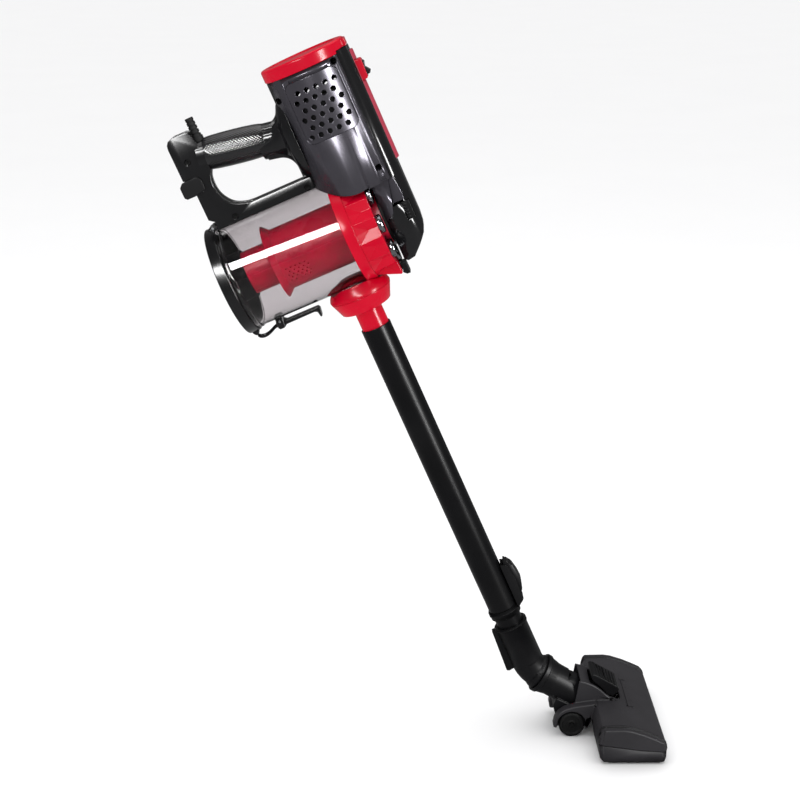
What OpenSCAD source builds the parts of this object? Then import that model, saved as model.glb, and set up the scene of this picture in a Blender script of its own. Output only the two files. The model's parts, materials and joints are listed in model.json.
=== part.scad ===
// Corded stick vacuum cleaner: hand unit with a see-through cyclone dust cup,
// a two-piece telescopic wand and a swivelling floor head.
// Millimetres, +Z up, +X toward the front of the floor head, +Y the machine's left.
// The origin is on the floor under the middle of the floor head.

/* [Stance] */
// Lean of the wand from upright, degrees
lean = 23.5; // [10:0.5:35]

/* [Motor body] */
// Outside diameter of the motor barrel
barrel_d = 94; // [90:1:98]
// Height of the red top cap
cap_h = 10.5; // [8:0.5:14]
// Wall of the moulded casing
wall = 2.5; // [2:0.1:3]

/* [Handle] */
// Outside diameter of the patterned grip sleeve
grip_d = 37; // [34:0.5:39]
// Thickness of the handle frame from side to side
frame_w = 28; // [24:1:32]

/* [Dust cup] */
// Outside diameter of the clear cup
cup_d = 118.4; // [114:0.2:119]
// Wall of the clear cup
cup_wall = 2.2; // [1.8:0.1:3]
// Diameter of the perforated shroud
shroud_d = 70; // [60:1:76]

/* [Wand] */
// Outside diameter of the outer tube
tube_d = 35; // [34:0.5:36]
// Outside diameter of the inner tube
inner_d = 32; // [31:0.5:32]
// Length of the outer tube
tube_len = 376; // [300:1:380]

/* [Floor head] */
// Width of the floor head across the sweep
head_w = 198; // [180:1:230]
// Diameter of the rear wheels
wheel_d = 30.5; // [28:0.5:31]
// Downward slope of the swivel neck, degrees
neck_dip = 31; // [28:0.5:34]

/* [Hidden] */
$fn = 96;
e = 0.05;
// barrel, in the hand unit's own axes: x forward, z along the wand
mx = 47.5;
mr = barrel_d / 2;
mtop = 295;
flat_x = 84;
// dust cup
cz = 111;
cr = cup_d / 2;
ring_r = 60.2;
saddle_r = 61.2;
// grip line
gx = -100;
gz = 251;
g_tilt = 9.5;
gr = grip_d / 2;
fw = frame_w / 2;
// elbow
bend = 90 - lean - neck_dip;
bend_r = 37.6;
sock_s = 451.7;
// neck and axle
nx = -100;
nz = 69.5;
ax = -62.4;
az = wheel_d / 2;
e_a = bend_r * (1 - cos(bend));
e_s = -(sock_s + bend_r * sin(bend));
px = nx - (cos(lean) * e_a - sin(lean) * e_s);
pz = nz - (sin(lean) * e_a + cos(lean) * e_s);
// colours
c_gun = [0.25, 0.25, 0.28];
c_black = [0.10, 0.10, 0.11];
c_dark = [0.20, 0.20, 0.21];
c_red = [0.80, 0.03, 0.12];
c_steel = [0.70, 0.71, 0.73];
c_brass = [0.75, 0.60, 0.30];
c_rubber = [0.07, 0.07, 0.07];
c_clear = [0.70, 0.68, 0.70, 0.35];
// screw places on the hand unit
body_screws = [[-112, 250], [-89.5, 176.5], [77, 166], [78, 287], [7, 271], [-4, 174]];

module hand() {
  translate([px, 0, pz]) rotate([0, -lean, 0]) children();
}
module neckf() {
  translate([nx, 0, nz]) rotate([0, 90 + neck_dip, 0]) children();
}
module gripf() {
  translate([gx, 0, gz]) rotate([0, 90 + g_tilt, 0]) children();
}
module ycyl(x, z, r, y0, y1) {
  translate([x, y1, z]) rotate([90, 0, 0]) cylinder(r = r, h = y1 - y0);
}
module xcyl(x0, x1, z, r, y = 0) {
  translate([x0, y, z]) rotate([0, 90, 0]) cylinder(r = r, h = x1 - x0);
}
module yext(y0, y1) {
  translate([0, y1, 0]) rotate([90, 0, 0]) linear_extrude(y1 - y0) children();
}
module box(x0, x1, y0, y1, z0, z1) {
  translate([x0, y0, z0]) cube([x1 - x0, y1 - y0, z1 - z0]);
}
module rbox2(x0, x1, z0, z1, r) {
  translate([x0 + r, z0 + r]) offset(r = r, $fn = 32) square([x1 - x0 - 2 * r, z1 - z0 - 2 * r]);
}
module tube(r1, r0, h) {
  difference() {
    cylinder(r = r1, h = h);
    translate([0, 0, -1]) cylinder(r = r0, h = h + 2);
  }
}

// ---------------------------------------------------------------- hand unit casing
loop_pts = [
  [-125.4, 233], [-125.4, 270], [-124.6, 275], [-122, 278.6], [-117, 280], [-103, 280],
  [-99.4, 278.6], [-97, 275], [-94, 262],
  [-92, 234], [-93.8, 231.1], [-95.6, 228.1], [-97, 225], [-97.8, 221.4], [-98.2, 217.7],
  [-98.3, 214], [-98.1, 210.6], [-97.6, 207.2], [-96.8, 204], [-95.5, 200.8], [-93.8, 197.7],
  [-92, 195], [-90.2, 192.7], [-88.3, 190.8], [-86, 189], [-83, 187.3], [-79.5, 185.8],
  [-76, 184.6], [-72.7, 183.9], [-69.3, 183.6], [-66, 183.2],
  [-1, 183.2], [3, 183.2], [3, 160],
  [-112.4, 160], [-112.6, 179.6], [-118.3, 184], [-118.3, 233]
];
module loop2d() {
  polygon(loop_pts);
}
module grip_core(r, len) {
  gripf() cylinder(r = r, h = len);
}
module gusset2d() {
  polygon([[4, 272], [2.6, 269.2], [1.2, 266.5], [0, 263.7], [-1.2, 261], [-2.7, 258.9],
    [-4.5, 257], [-6.8, 255], [-9.5, 253.3], [-12.6, 252], [-16, 251], [-19.9, 250.6],
    [-24, 250.5],
    [-30, 249],
    [-30, 217], [-27.5, 216.6], [-25, 216.1], [-22.5, 215.6], [-19.9, 215], [-17.4, 214.4],
    [-15, 213.6], [-13, 212.6], [-11.1, 211.4], [-9.5, 210], [-8, 208.3], [-6.7, 206.3],
    [-5.6, 204.2], [-4.8, 202.2], [-4.3, 200], [-4, 197], [-3.9, 192.8], [-3.9, 187.9],
    [-4, 183],
    [8, 176], [14, 272]]);
}
module cup_void(r) {
  xcyl(-140, 58.6, cz, r);
}
module chin2d() {
  polygon([[61.6, 60.5], [65.5, 57.5], [73.7, 59], [84, 69.2], [93, 79.5], [95.8, 86], [97, 98],
    [97, 165], [61.6, 165]]);
}
module cheek2d(g) {
  polygon([[50, 170], [flat_x - 2, 170], [flat_x - 2, 156], [76.5 - g, 130], [71.5 - g, 113],
    [60, 106 + g * 2], [50, 106 + g * 2]]);
}
module chin_front(k) {
  // front view of the duct: wide at the barrel, narrow at the foot
  translate([50, 0, 0]) rotate([90, 0, 90]) linear_extrude(60)
    polygon([[-37 + k, 170], [-37 + k, 142], [-22 + k, 57 + k], [22 - k, 57 + k], [37 - k, 142], [37 - k, 170]]);
}
module chin_plan(k) {
  translate([0, 0, 50]) linear_extrude(120)
    polygon([[61, -38 + k], [72, -35 + k], [84, -29.4 + k], [91, -22.5 + k], [97 - k, -15],
      [97 - k, 15], [91, 22.5 - k], [84, 29.4 - k], [72, 35 - k], [61, 38 - k]]);
}
module chin_solid(k) {
  intersection() {
    yext(-40, 40) offset(delta = -k) chin2d();
    chin_front(k);
    chin_plan(k);
  }
}
module barrel_solid(r, z0, z1) {
  intersection() {
    translate([mx, 0, z0]) cylinder(r = r, h = z1 - z0);
    box(-10, flat_x - (mr - r), -60, 60, z0, z1);
  }
}
module casing_outer() {
  difference() {
    union() {
      barrel_solid(mr, 150, mtop);
      yext(-fw, fw) loop2d();
      yext(-fw + 2, fw - 2) gusset2d();
      grip_core(gr - 1.6, 104);
      intersection() {
        chin_solid(0);
        yext(-40, 40) cheek2d(0.3);
      }
    }
    cup_void(saddle_r);
    // foot of the barrel is rounded up toward the handle
    difference() {
      box(-8, 20, -50, 50, 100, 168);
      translate([26, 0, 178]) rotate([90, 0, 0]) cylinder(r = 29.5, h = 120, center = true);
      box(-8, 3.2, -fw, fw, 100, 190);
      box(16, 30, -50, 50, 100, 200);
    }
  }
}
module casing_inner() {
  difference() {
    union() {
      barrel_solid(mr - wall, 150 + wall, mtop + 1);
      yext(-fw + wall, fw - wall) offset(delta = -wall) loop2d();
      grip_core(gr - 1.6 - wall, 108);
      intersection() {
        chin_solid(wall);
        yext(-40, 40) cheek2d(-4);
      }
      // air passage from the duct up into the barrel
      box(60, flat_x - 2.2, -24, 24, 150, 170);
    }
    cup_void(saddle_r + wall);
    difference() {
      box(-8, 20, -50, 50, 100, 172);
      translate([26, 0, 178]) rotate([90, 0, 0]) cylinder(r = 29.5 - wall, h = 120, center = true);
      box(-8, 3.2, -fw + wall, fw - wall, 100, 190);
      box(16, 30, -50, 50, 100, 200);
    }
  }
}
module grille_area(g) {
  yext(-60, 60) rbox2(19 - g, 78.5 + g, 216 - g, 284 + g, 8);
}
module boss_solids() {
  for (p = body_screws) ycyl(p[0], p[1], 4.6, -36, 36);
}
module casing_shell() {
  difference() {
    union() {
      difference() {
        casing_outer();
        casing_inner();
      }
      intersection() {
        boss_solids();
        casing_inner();
      }
      // two shelves that carry the motor's rubber rings
      difference() {
        intersection() {
          barrel_solid(mr - wall + 0.5, 186, 265);
          union() {
            translate([mx, 0, 186]) tube(mr, 39.6, 3);
            translate([mx, 0, 262]) tube(mr, 31, 3);
          }
        }
        box(3.2, 22, -3.6, 3.6, 261, 266);
      }
    }
    // windows for the exhaust grilles
    intersection() {
      grille_area(0.3);
      difference() {
        translate([mx, 0, 200]) cylinder(r = 60, h = 100);
        translate([mx, 0, 199]) cylinder(r = mr - 1.6, h = 102);
      }
    }
    yext(-60, 60) rbox2(23, 74.5, 220, 280, 5);
    // front wall: wire way to the switch, air way from the duct
    box(flat_x - 5, flat_x + 1, -9, 9, 255, 276);
    box(flat_x - 5, flat_x + 1, -20, 20, 135, 150);
    // cord entry on top of the handle, and its seat
    translate([-92.5, 0, 240]) cylinder(r = 4.3, h = 60);
    translate([-92.5, 0, 262]) cylinder(r = 6.6, h = 40);
    // cord clip pocket behind the post
    box(-130, -116.5, -6.3, 6.3, 213, 231);
    // finish the top rim for the cap
    translate([mx, 0, mtop - 3]) difference() {
      cylinder(r = 60, h = 5);
      translate([0, 0, -1]) cylinder(r = mr - 1.4, h = 7);
    }
    // screw ways
    for (p = body_screws) {
      ycyl(p[0], p[1], 1.75, -60, 10.5);
      ycyl(p[0], p[1], 3.7, -60, -9);
    }
  }
}
module casing_right() {
  color(c_gun) hand() intersection() {
    casing_shell();
    box(-140, 100, -60, 0, 90, 300);
  }
}
module casing_left() {
  color(c_gun) hand() difference() {
    intersection() {
      casing_shell();
      box(-140, 100, 0, 60, 90, 300);
    }
    // nothing shows on this side: the screw ways stop inside
  }
}
module casing_screws() {
  color(c_steel) hand() for (p = body_screws) {
    ycyl(p[0], p[1], 1.5, -9.1, 10);
    difference() {
      ycyl(p[0], p[1], 3.1, -11.6, -9);
      ycyl(p[0], p[1], 1.5, -12, -10.2);
    }
  }
}
module top_cap() {
  color(c_red) hand() difference() {
    union() {
      translate([mx, 0, mtop - 3 + 0.1]) cylinder(r = mr + 1, h = cap_h + 1.4);
      translate([mx, 0, mtop - 3 + 0.1 + cap_h + 1.4]) cylinder(r1 = mr + 1, r2 = mr - 0.6, h = 1.6);
      box(80, 96.6, -15, 15, mtop - 2.9, mtop + cap_h - 2);
    }
    translate([mx, 0, mtop - 4]) cylinder(r = mr - 1.15, h = cap_h + 2);
    // the front lip sits over the spine
    box(70, 94.6, -13, 13, mtop - 4, mtop + cap_h - 5);
    translate([mx, 0, mtop + cap_h - 1.2]) cylinder(r = mr - 8, h = 5);
    difference() {
      box(80, 110, -60, 60, mtop - 4, mtop + 0.2);
      box(80, 84.2, -60, 60, mtop - 5, mtop + 1);
    }
  }
}
module hex_rows(r) {
  for (row = [0 : 5]) for (i = [-2 : 3]) {
    hx = 46.4 + i * 10.4 + (row % 2 == 0 ? 0 : 5.2);
    hz = 223.2 + row * 9.7;
    if (hx > 25 && hx < 74) translate([hx, 60, hz]) rotate([90, 30, 0]) cylinder(r = r, h = 120, $fn = 6);
  }
}
module grille(side) {
  hand() difference() {
    intersection() {
      union() {
        intersection() {
          translate([mx, 0, 200]) tube(mr, mr - 1.5, 100);
          grille_area(0);
        }
        intersection() {
          translate([mx, 0, 200]) tube(mr - 1.4, mr - 3.6, 100);
          yext(-60, 60) rbox2(23.3, 74.2, 220.3, 279.7, 5);
        }
      }
      translate([0, side > 0 ? 0 : -60, 200]) cube([100, 60, 100]);
    }
    hex_rows(3.1);
  }
}
module exhaust_grille_right() {
  color(c_gun) grille(-1);
}
module exhaust_grille_left() {
  color(c_gun) grille(1);
}
module exhaust_foam() {
  color(c_dark) hand() difference() {
    translate([mx, 0, 219]) tube(43.2, 39.4, 42);
    box(flat_x - 7.4, 100, -60, 60, 200, 290);
    box(-10, 12, -60, 60, 200, 290);
  }
}
module spine2d(k) {
  polygon([[flat_x + 0.4, -29 + k], [90.5, -23.2 + k], [94.2 - k * 0.3, -18.5 + k * 0.6],
    [97 - k, -13.5 + k * 0.3], [97 - k, 13.5 - k * 0.3], [94.2 - k * 0.3, 18.5 - k * 0.6],
    [90.5, 23.2 - k], [flat_x + 0.4, 29 - k]]);
}
module spine_cover() {
  color(c_black) hand() difference() {
    union() {
      difference() {
        translate([0, 0, 150]) linear_extrude(mtop - 0.3 - 150) spine2d(0);
        translate([0, 0, 145]) linear_extrude(mtop - 2.5 - 145) spine2d(2.2);
      }
      difference() {
        intersection() {
          chin_solid(0);
          box(50, 100, -60, 60, 50, 160);
        }
        intersection() {
          chin_solid(2.2);
          box(50, 100, -60, 60, 50, 170);
        }
        yext(-60, 60) cheek2d(0);
        translate([mx, 0, 120]) cylinder(r = mr + 0.4, h = 60);
        box(58, flat_x + 0.4, -60, 60, 152, 200);
      }
    }
    // rear window that faces the cyclone outlets
    xcyl(58, 66, cz, 26);
    box(58, flat_x + 0.2, -27, 27, 88, 165);
    // shallow bed for the coloured strip and the opening for the switch
    box(95.4, 99, -12.9, 12.9, 163.6, 289.4);
    box(90, 99, -10.4, 10.4, 254.1, 277.1);
    // pockets for the two release buttons
    for (s = [-1, 1]) translate([0, s * 24, 0]) box(83, 92.4, -9, 9, 99.6, 120.4);
  }
}
module spine_strip() {
  color([0.72, 0.10, 0.20]) hand() difference() {
    intersection() {
      translate([75.4, 0, 164]) cylinder(r = 25, h = 125);
      box(95.5, 102, -12.5, 12.5, 164, 289);
    }
    box(90, 105, -11.3, 11.3, 253.2, 278);
  }
}
module switch_bezel() {
  color(c_red) hand() difference() {
    union() {
      yext(-11, 11) polygon([[95.6, 253.5], [103.2, 254.8], [104.2, 256.2], [104.6, 275], [103.8, 276.6],
        [95.6, 277.7]]);
      box(91.5, 96, -10, 10, 254.5, 276.7);
    }
    box(90, 110, -8.2, 8.2, 256.6, 274.8);
  }
}
module rocker_switch() {
  color(c_black) hand() difference() {
    union() {
      yext(-7.8, 7.8) polygon([[99, 257.4], [107.6, 258.2], [109.4, 260.6], [104.9, 266.4], [106.6, 271.8],
        [105.4, 273.6], [99, 274.1]]);
      ycyl(99.8, 265.7, 2.2, -7.8, 7.8);
    }
    ycyl(99.8, 265.7, 1.2, -9, 9);
  }
}
module switch_block() {
  color(c_dark) hand() {
    difference() {
      box(86.5, 96.6, -7.9, 7.9, 257, 274.4);
      box(93, 97, -6.5, 6.5, 258.5, 273);
    }
    // pin the rocker turns on
    ycyl(99.8, 265.7, 1, -8.15, 8.15);
    for (s = [-1, 1]) box(95.8, 101, s * 8.03 - 0.13, s * 8.03 + 0.13, 262, 269);
    for (k = [260, 265.5, 271]) box(81.5, 86.7, -2.5, 2.5, k - 0.4, k + 0.4);
  }
}
module release_button(s) {
  hand() difference() {
    union() {
      translate([0, s * 23.2, 0]) box(83.4, 92, -3.6, 3.6, 100, 120);
      for (k = [0 : 4]) ycyl(86, 103 + k * 3.5, 0.9, s > 0 ? 26 : -29, s > 0 ? 29 : -26);
      for (k = [0 : 4]) translate([0, 0, 103 + k * 3.5]) box(84.5, 87.6, s * 27.6 - 1.4, s * 27.6 + 1.4, -0.9, 0.9);
    }
    // spring cup
    ycyl(87.7, 110, 2.6, s > 0 ? 18 : -22.5, s > 0 ? 22.5 : -18);
  }
}
module release_button_right() {
  color(c_black) release_button(-1);
}
module release_button_left() {
  color(c_black) release_button(1);
}
// a close-wound coil spring: n turns of wire w thick at radius r
module coil(r, w, n, pitch) {
  rotate_extrude($fn = 32) polygon(concat(
    [for (k = [0 : 2 * n]) [r + (k % 2 == 0 ? w * 0.35 : w), k * pitch / 2]],
    [for (k = [2 * n : -1 : 0]) [r - (k % 2 == 0 ? w * 0.35 : w), k * pitch / 2]]));
}
module release_springs() {
  color(c_steel) hand() for (s = [-1, 1])
    translate([87.7, s > 0 ? 21.8 : -13.2, 110]) rotate([90, 0, 0]) coil(1.5, 0.8, 6, 1.4);
}
module strain_relief() {
  color(c_rubber) hand() difference() {
    union() {
      translate([-92.5, 0, 262.4]) cylinder(r = 6.3, h = 8.2);
      translate([-92.5, 0, 259]) cylinder(r = 4.1, h = 6);
      translate([-92.5, 0, 270]) cylinder(r1 = 5.4, r2 = 4.6, h = 22);
    }
    translate([-92.5, 0, 250]) cylinder(r = 3.1, h = 60);
    for (k = [0 : 3]) translate([-92.5, 0, 273.5 + k * 4.6]) difference() {
      cylinder(r = 8, h = 1.4);
      translate([0, 0, -1]) cylinder(r = 4.1, h = 4);
    }
  }
}
module cord_clip() {
  color(c_black) hand() union() {
    yext(-6, 6) polygon([[-126, 229.5], [-131, 228.5], [-131.2, 216.2], [-128.8, 214.2], [-118.6, 214.2],
      [-118.6, 229.8]]);
    for (s = [-1, 1]) yext(s > 0 ? fw + 0.2 : -fw - 3, s > 0 ? fw + 3 : -fw - 0.2)
      polygon([[-127, 232.4], [-131, 228.5], [-131.2, 216.2], [-128.8, 213.8], [-118.9, 213.8], [-107.5, 215.8],
        [-106, 219], [-106, 228], [-109, 232.4]]);
    for (s = [-1, 1]) box(-131, -125.7, s > 0 ? 5.8 : -fw - 3, s > 0 ? fw + 3 : -5.8, 217, 228);
  }
}
module grip_sleeve() {
  color(c_dark) hand() intersection() {
    gripf() translate([0, 0, 11]) difference() {
      union() {
        cylinder(r1 = gr - 0.9, r2 = gr, h = 8);
        translate([0, 0, 8]) cylinder(r1 = gr, r2 = gr + 0.5, h = 24);
        translate([0, 0, 32]) cylinder(r1 = gr + 0.5, r2 = gr, h = 22);
        translate([0, 0, 54]) cylinder(r1 = gr, r2 = gr - 0.9, h = 10);
      }
      translate([0, 0, -1]) cylinder(r = gr - 1.3, h = 80);
    }
    box(-91.2, 20, -40, 40, 150, 300);
  }
}
module lead_bit(x0, z0, x1, z1) {
  l = sqrt((x1 - x0) * (x1 - x0) + (z1 - z0) * (z1 - z0));
  translate([x0, 0, z0]) rotate([0, atan2(x1 - x0, z1 - z0), 0]) cylinder(r = 2.1, h = l);
  translate([x0, 0, z0]) sphere(r = 2.3);
}
module power_lead() {
  color(c_rubber) hand() {
    lead_bit(-92.5, 256.5, -90, 251);
    lead_bit(-90, 251, -84, 248);
    lead_bit(-84, 248, 3.5, 234);
    lead_bit(3.5, 234, 7.8, 243);
    lead_bit(7.8, 243, 7.8, 263.8);
    lead_bit(7.8, 263.8, 17, 263.8);
    lead_bit(17, 263.8, 17, 281);
    lead_bit(17, 281, 68, 281);
    lead_bit(68, 281, 73, 273);
    lead_bit(73, 273, 77.5, 269.5);
  }
}

// ---------------------------------------------------------------- motor and fan
module motor_can() {
  color(c_steel) hand() translate([mx, 0, 0]) {
    difference() {
      union() {
        translate([0, 0, 207]) cylinder(r = 33, h = 52);
        translate([0, 0, 207]) cylinder(r = 33.4, h = 3);
      }
      translate([0, 0, 209.2]) cylinder(r = 31, h = 47.8);
      translate([0, 0, 200]) cylinder(r = 6.6, h = 70);
      for (k = [0 : 5]) rotate([0, 0, k * 60 + 20]) translate([22, 0, 250]) cylinder(r = 5, h = 20);
      // brush windows
      for (s = [0, 180]) rotate([0, 0, s + 90]) box(28, 36, -5, 5, 245, 254);
    }
    // field magnets
    intersection() {
      translate([0, 0, 212]) tube(31.4, 24, 30);
      union() {
        box(-40, 40, -15, 15, 200, 250);
      }
    }
  }
}
module motor_shaft() {
  color(c_steel) hand() translate([mx, 0, 190.5]) cylinder(r = 2.5, h = 76);
}
module armature() {
  color(c_brass) hand() translate([mx, 0, 0]) difference() {
    union() {
      translate([0, 0, 213]) cylinder(r = 22.5, h = 28);
      translate([0, 0, 241]) cylinder(r = 14, h = 3);
      translate([0, 0, 244]) cylinder(r = 11, h = 10);
    }
    translate([0, 0, 200]) cylinder(r = 2.5, h = 60);
    for (k = [0 : 11]) rotate([0, 0, k * 30]) box(17, 30, -1.3, 1.3, 212, 242);
  }
}
module impeller() {
  color(c_steel) hand() translate([mx, 0, 0]) difference() {
    union() {
      translate([0, 0, 193]) cylinder(r = 30.5, h = 1.2);
      translate([0, 0, 201.8]) tube(30.5, 14, 1.2);
      translate([0, 0, 193]) cylinder(r = 6, h = 12);
      for (k = [0 : 8]) rotate([0, 0, k * 40]) translate([9, 0, 193.6]) rotate([0, 0, 35]) cube([20, 1.2, 8.8]);
    }
    translate([0, 0, 190]) cylinder(r = 2.5, h = 20);
  }
}
module fan_cover() {
  color(c_steel) hand() translate([mx, 0, 0]) difference() {
    translate([0, 0, 189.3]) cylinder(r = 33.3, h = 17.5);
    translate([0, 0, 191.3]) cylinder(r = 31.6, h = 20);
    translate([0, 0, 185]) cylinder(r = 13, h = 20);
  }
}
module motor_mounts() {
  color(c_rubber) hand() translate([mx, 0, 0]) {
    difference() {
      translate([0, 0, 189.3]) tube(44.2, 33.6, 16);
      for (k = [1 : 7]) rotate([0, 0, k * 45]) translate([39, 0, 192]) cylinder(r = 2.6, h = 20);
      box(30, 60, -50, 50, 180, 210);
    }
    difference() {
      union() {
        translate([0, 0, 253]) tube(36.5, 33.2, 8.2);
        translate([0, 0, 259.3]) tube(36.5, 22, 1.9);
      }
      box(33.6, 60, -50, 50, 250, 265);
    }
  }
}
module motor_bearings() {
  color(c_steel) hand() translate([mx, 0, 0]) {
    translate([0, 0, 207.2]) tube(6.3, 2.6, 5);
    translate([0, 0, 255]) tube(6.3, 2.6, 4);
  }
}
module carbon_brushes() {
  color(c_brass) hand() translate([mx, 0, 0]) for (s = [-1, 1]) {
    box(-2.6, 2.6, s > 0 ? 11.3 : -27, s > 0 ? 27 : -11.3, 246.5, 251.5);
  }
}

// ---------------------------------------------------------------- dust cup
module dust_cup() {
  color(c_clear) hand() difference() {
    union() {
      xcyl(-117.2, 20, cz, cr);
      xcyl(-117.2, -112.8, cz, cr + 1.2);
      // latch rail along the foot of the cup
      box(-100, -91, -7, 7, 46.9, 54);
      // hinge ears on top of the rear rim
      for (s = [-1, 1]) yext(s > 0 ? 8 : -12, s > 0 ? 12 : -8)
        polygon([[-117.2, 167], [-117.3, 171], [-120.8, 172], [-121.5, 174.4], [-119.8, 176.4], [-117, 176.2],
          [-113.4, 173], [-112.8, 167]]);
    }
    xcyl(-130, 30, cz, cr - cup_wall);
    ycyl(-118.4, 173.4, 1.65, -20, 20);
    // notch where the dirty air comes in low on the cup
    translate([-2, 0, 44]) cylinder(r = 15.4, h = 14);
    // bore for the latch pin
    ycyl(-96, 48.4, 1.25, -12, 12);
  }
}
module cup_lid() {
  color(c_black) hand() difference() {
    union() {
      xcyl(-130, -117.8, cz, 62.4);
      xcyl(-117.8, -112.4, cz, 54.2);
      // knuckle between the two ears
      yext(-7.6, 7.6) polygon([[-130, 164], [-127, 172], [-121.4, 176], [-118.9, 175.9], [-117.4, 175.25],
        [-116.45, 174.2], [-116.3, 173.2], [-116.75, 172.1], [-118, 171], [-118.2, 165]]);
      // keeper for the latch at the foot
      yext(-6, 6) polygon([[-129.6, 56], [-129.6, 47], [-127, 43.6], [-123.4, 43.6], [-122.8, 46.4],
        [-119.4, 49.6], [-118.1, 56]]);
    }
    xcyl(-127.2, -110, cz, 51.6);
    difference() {
      xcyl(-128.6, -127, cz, 46);
      xcyl(-129, -126, cz, 20);
    }
    ycyl(-118.4, 173.4, 1.65, -20, 20);
    // room for the cup's two ears
    for (s = [-1, 1]) ycyl(-118.4, 173.4, 5.6, s > 0 ? 7.7 : -12.6, s > 0 ? 12.6 : -7.7);
    // dished outer face
    xcyl(-131, -129, cz, 55);
    // groove for the gasket
    difference() {
      xcyl(-118.6, -117, cz, 59.6);
      xcyl(-119, -116, cz, 54.1);
    }
  }
}
module lid_seal() {
  color(c_rubber) hand() difference() {
    xcyl(-118.5, -117.3, cz, 59.2);
    xcyl(-120, -116, cz, 54.5);
  }
}
module lid_pin() {
  color(c_steel) hand() ycyl(-118.4, 173.4, 1.4, -12.4, 12.4);
}
module lid_latch() {
  color(c_black) hand() difference() {
    union() {
      yext(-5.6, 5.6) polygon([[-126.4, 41.2], [-123.8, 38.6], [-116.6, 37.4], [-108, 40], [-101, 42.4],
        [-99.2, 39.6], [-92.8, 39.2], [-90.6, 42], [-56, 42.2], [-52.8, 41], [-51.4, 34.4], [-49.8, 34.4],
        [-48.2, 43.5], [-50, 46.4], [-86, 46.2], [-89, 45.2], [-102, 44.8], [-107.6, 43.4],
        [-116.4, 41], [-122.4, 42.4], [-122.6, 43.2], [-126.4, 43.4]]);
      for (s = [-1, 1]) yext(s > 0 ? 7.4 : -9.2, s > 0 ? 9.2 : -7.4)
        polygon([[-100, 41], [-92, 41], [-91.5, 49], [-94, 52], [-98, 52], [-100.5, 49]]);
      box(-99, -93, -9, 9, 39.6, 43);
    }
    ycyl(-96, 48.4, 1.35, -12, 12);
  }
}
module latch_pin() {
  color(c_steel) hand() ycyl(-96, 48.4, 1.15, -9.6, 9.6);
}
module cyclone_ring() {
  color(c_red) hand() difference() {
    union() {
      xcyl(14.8, 26.8, cz, ring_r);
      translate([26.6, 0, cz]) rotate([0, 90, 0]) rotate([0, 0, 11.25]) cylinder(r1 = ring_r - 0.4, r2 = 55.4, h = 13, $fn = 16);
      translate([39.4, 0, cz]) rotate([0, 90, 0]) cylinder(r1 = 54.4, r2 = 57.6, h = 12.8, $fn = 16);
      // foot block toward the front
      yext(-17, 17) polygon([[27, 72], [27, 55.2], [52.4, 45], [54, 47], [52.3, 54.9], [52.3, 66]]);
    }
    xcyl(10, 21, cz, cr + 0.3);
    xcyl(20, 46, cz, 53);
    xcyl(45, 60, cz, 51.6);
    // way for the air coming up from the inlet
    translate([2, 0, 40]) cylinder(r = 16.2, h = 20);
  }
}
module at_cones(n = 8, r = 38) {
  for (k = [0 : n - 1]) translate([0, r * sin(k * 360 / n), cz + r * cos(k * 360 / n)]) children();
}
module cyclone_cones() {
  color(c_red) hand() difference() {
    union() {
      xcyl(49, 52, cz, 51.2);
      // round outlet hood that meets the duct of the motor body
      xcyl(51, 58.2, cz, 31);
      at_cones() rotate([0, 90, 0]) translate([0, 0, 18]) cylinder(r1 = 6, r2 = 11.8, h = 32);
      xcyl(18, 21, cz, 52.6);
    }
    at_cones() rotate([0, 90, 0]) translate([0, 0, 16]) cylinder(r1 = 4.2, r2 = 10.2, h = 37);
    xcyl(10, 30, cz, 29.6);
    xcyl(40, 60, cz, 26.5);
    // ring of slots that lets the air into the cones
    for (k = [0 : 7]) rotate([0, 0, 0]) translate([0, 0, cz]) rotate([k * 45 + 22.5, 0, 0])
      translate([17, 0, 42]) rotate([0, 90, 0]) cylinder(r = 3.6, h = 5);
  }
}
module cyclone_caps() {
  color(c_steel) hand() at_cones(8, 44.6) difference() {
    rotate([0, 90, 0]) translate([0, 0, 52.4]) cylinder(r = 10.4, h = 5.8);
    rotate([0, 90, 0]) translate([0, 0, 50]) cylinder(r = 5.2, h = 20);
  }
}
module shroud() {
  color([0.55, 0.04, 0.10]) hand() difference() {
    union() {
      xcyl(-66, 17.6, cz, shroud_d / 2);
      // dust skirt
      translate([-72.4, 0, cz]) rotate([0, 90, 0]) cylinder(r1 = 42, r2 = shroud_d / 2 + 0.5, h = 7);
      xcyl(14, 17.6, cz, 52);
    }
    xcyl(-80, 20, cz, shroud_d / 2 - 2);
    translate([-73.6, 0, cz]) rotate([0, 90, 0]) cylinder(r1 = 41, r2 = shroud_d / 2 - 2, h = 7.2);
    // fine openings on both cheeks and beneath
    for (a = [66, 114, 246, 294]) for (i = [0 : 4]) for (j = [-2 : 2]) translate([-60 + i * 5.5, 0, cz])
      rotate([a + j * 7, 0, 0]) translate([j % 2 == 0 ? 0 : 2.7, 0, 30]) cylinder(r = 1.1, h = 12, $fn = 6);
  }
}
module dust_funnel() {
  color([0.60, 0.04, 0.10]) hand() difference() {
    union() {
      translate([-76, 0, cz]) rotate([0, 90, 0]) cylinder(r1 = 25, r2 = 30, h = 34);
      xcyl(-108, -75.9, cz, 24.5);
      xcyl(-42.1, 13.6, cz, 30);
    }
    translate([-76, 0, cz]) rotate([0, 90, 0]) cylinder(r1 = 22.6, r2 = 28, h = 34.1);
    xcyl(-120, -75.8, cz, 22.6);
    xcyl(-42.2, 30, cz, 28);
  }
}
module funnel_seal() {
  color(c_rubber) hand() difference() {
    union() {
      xcyl(-119, -104, cz, 27.4);
      xcyl(-127, -119, cz, 24.6);
    }
    xcyl(-110, -100, cz, 24.7);
    xcyl(-130, -108.2, cz, 22);
  }
}
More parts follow.
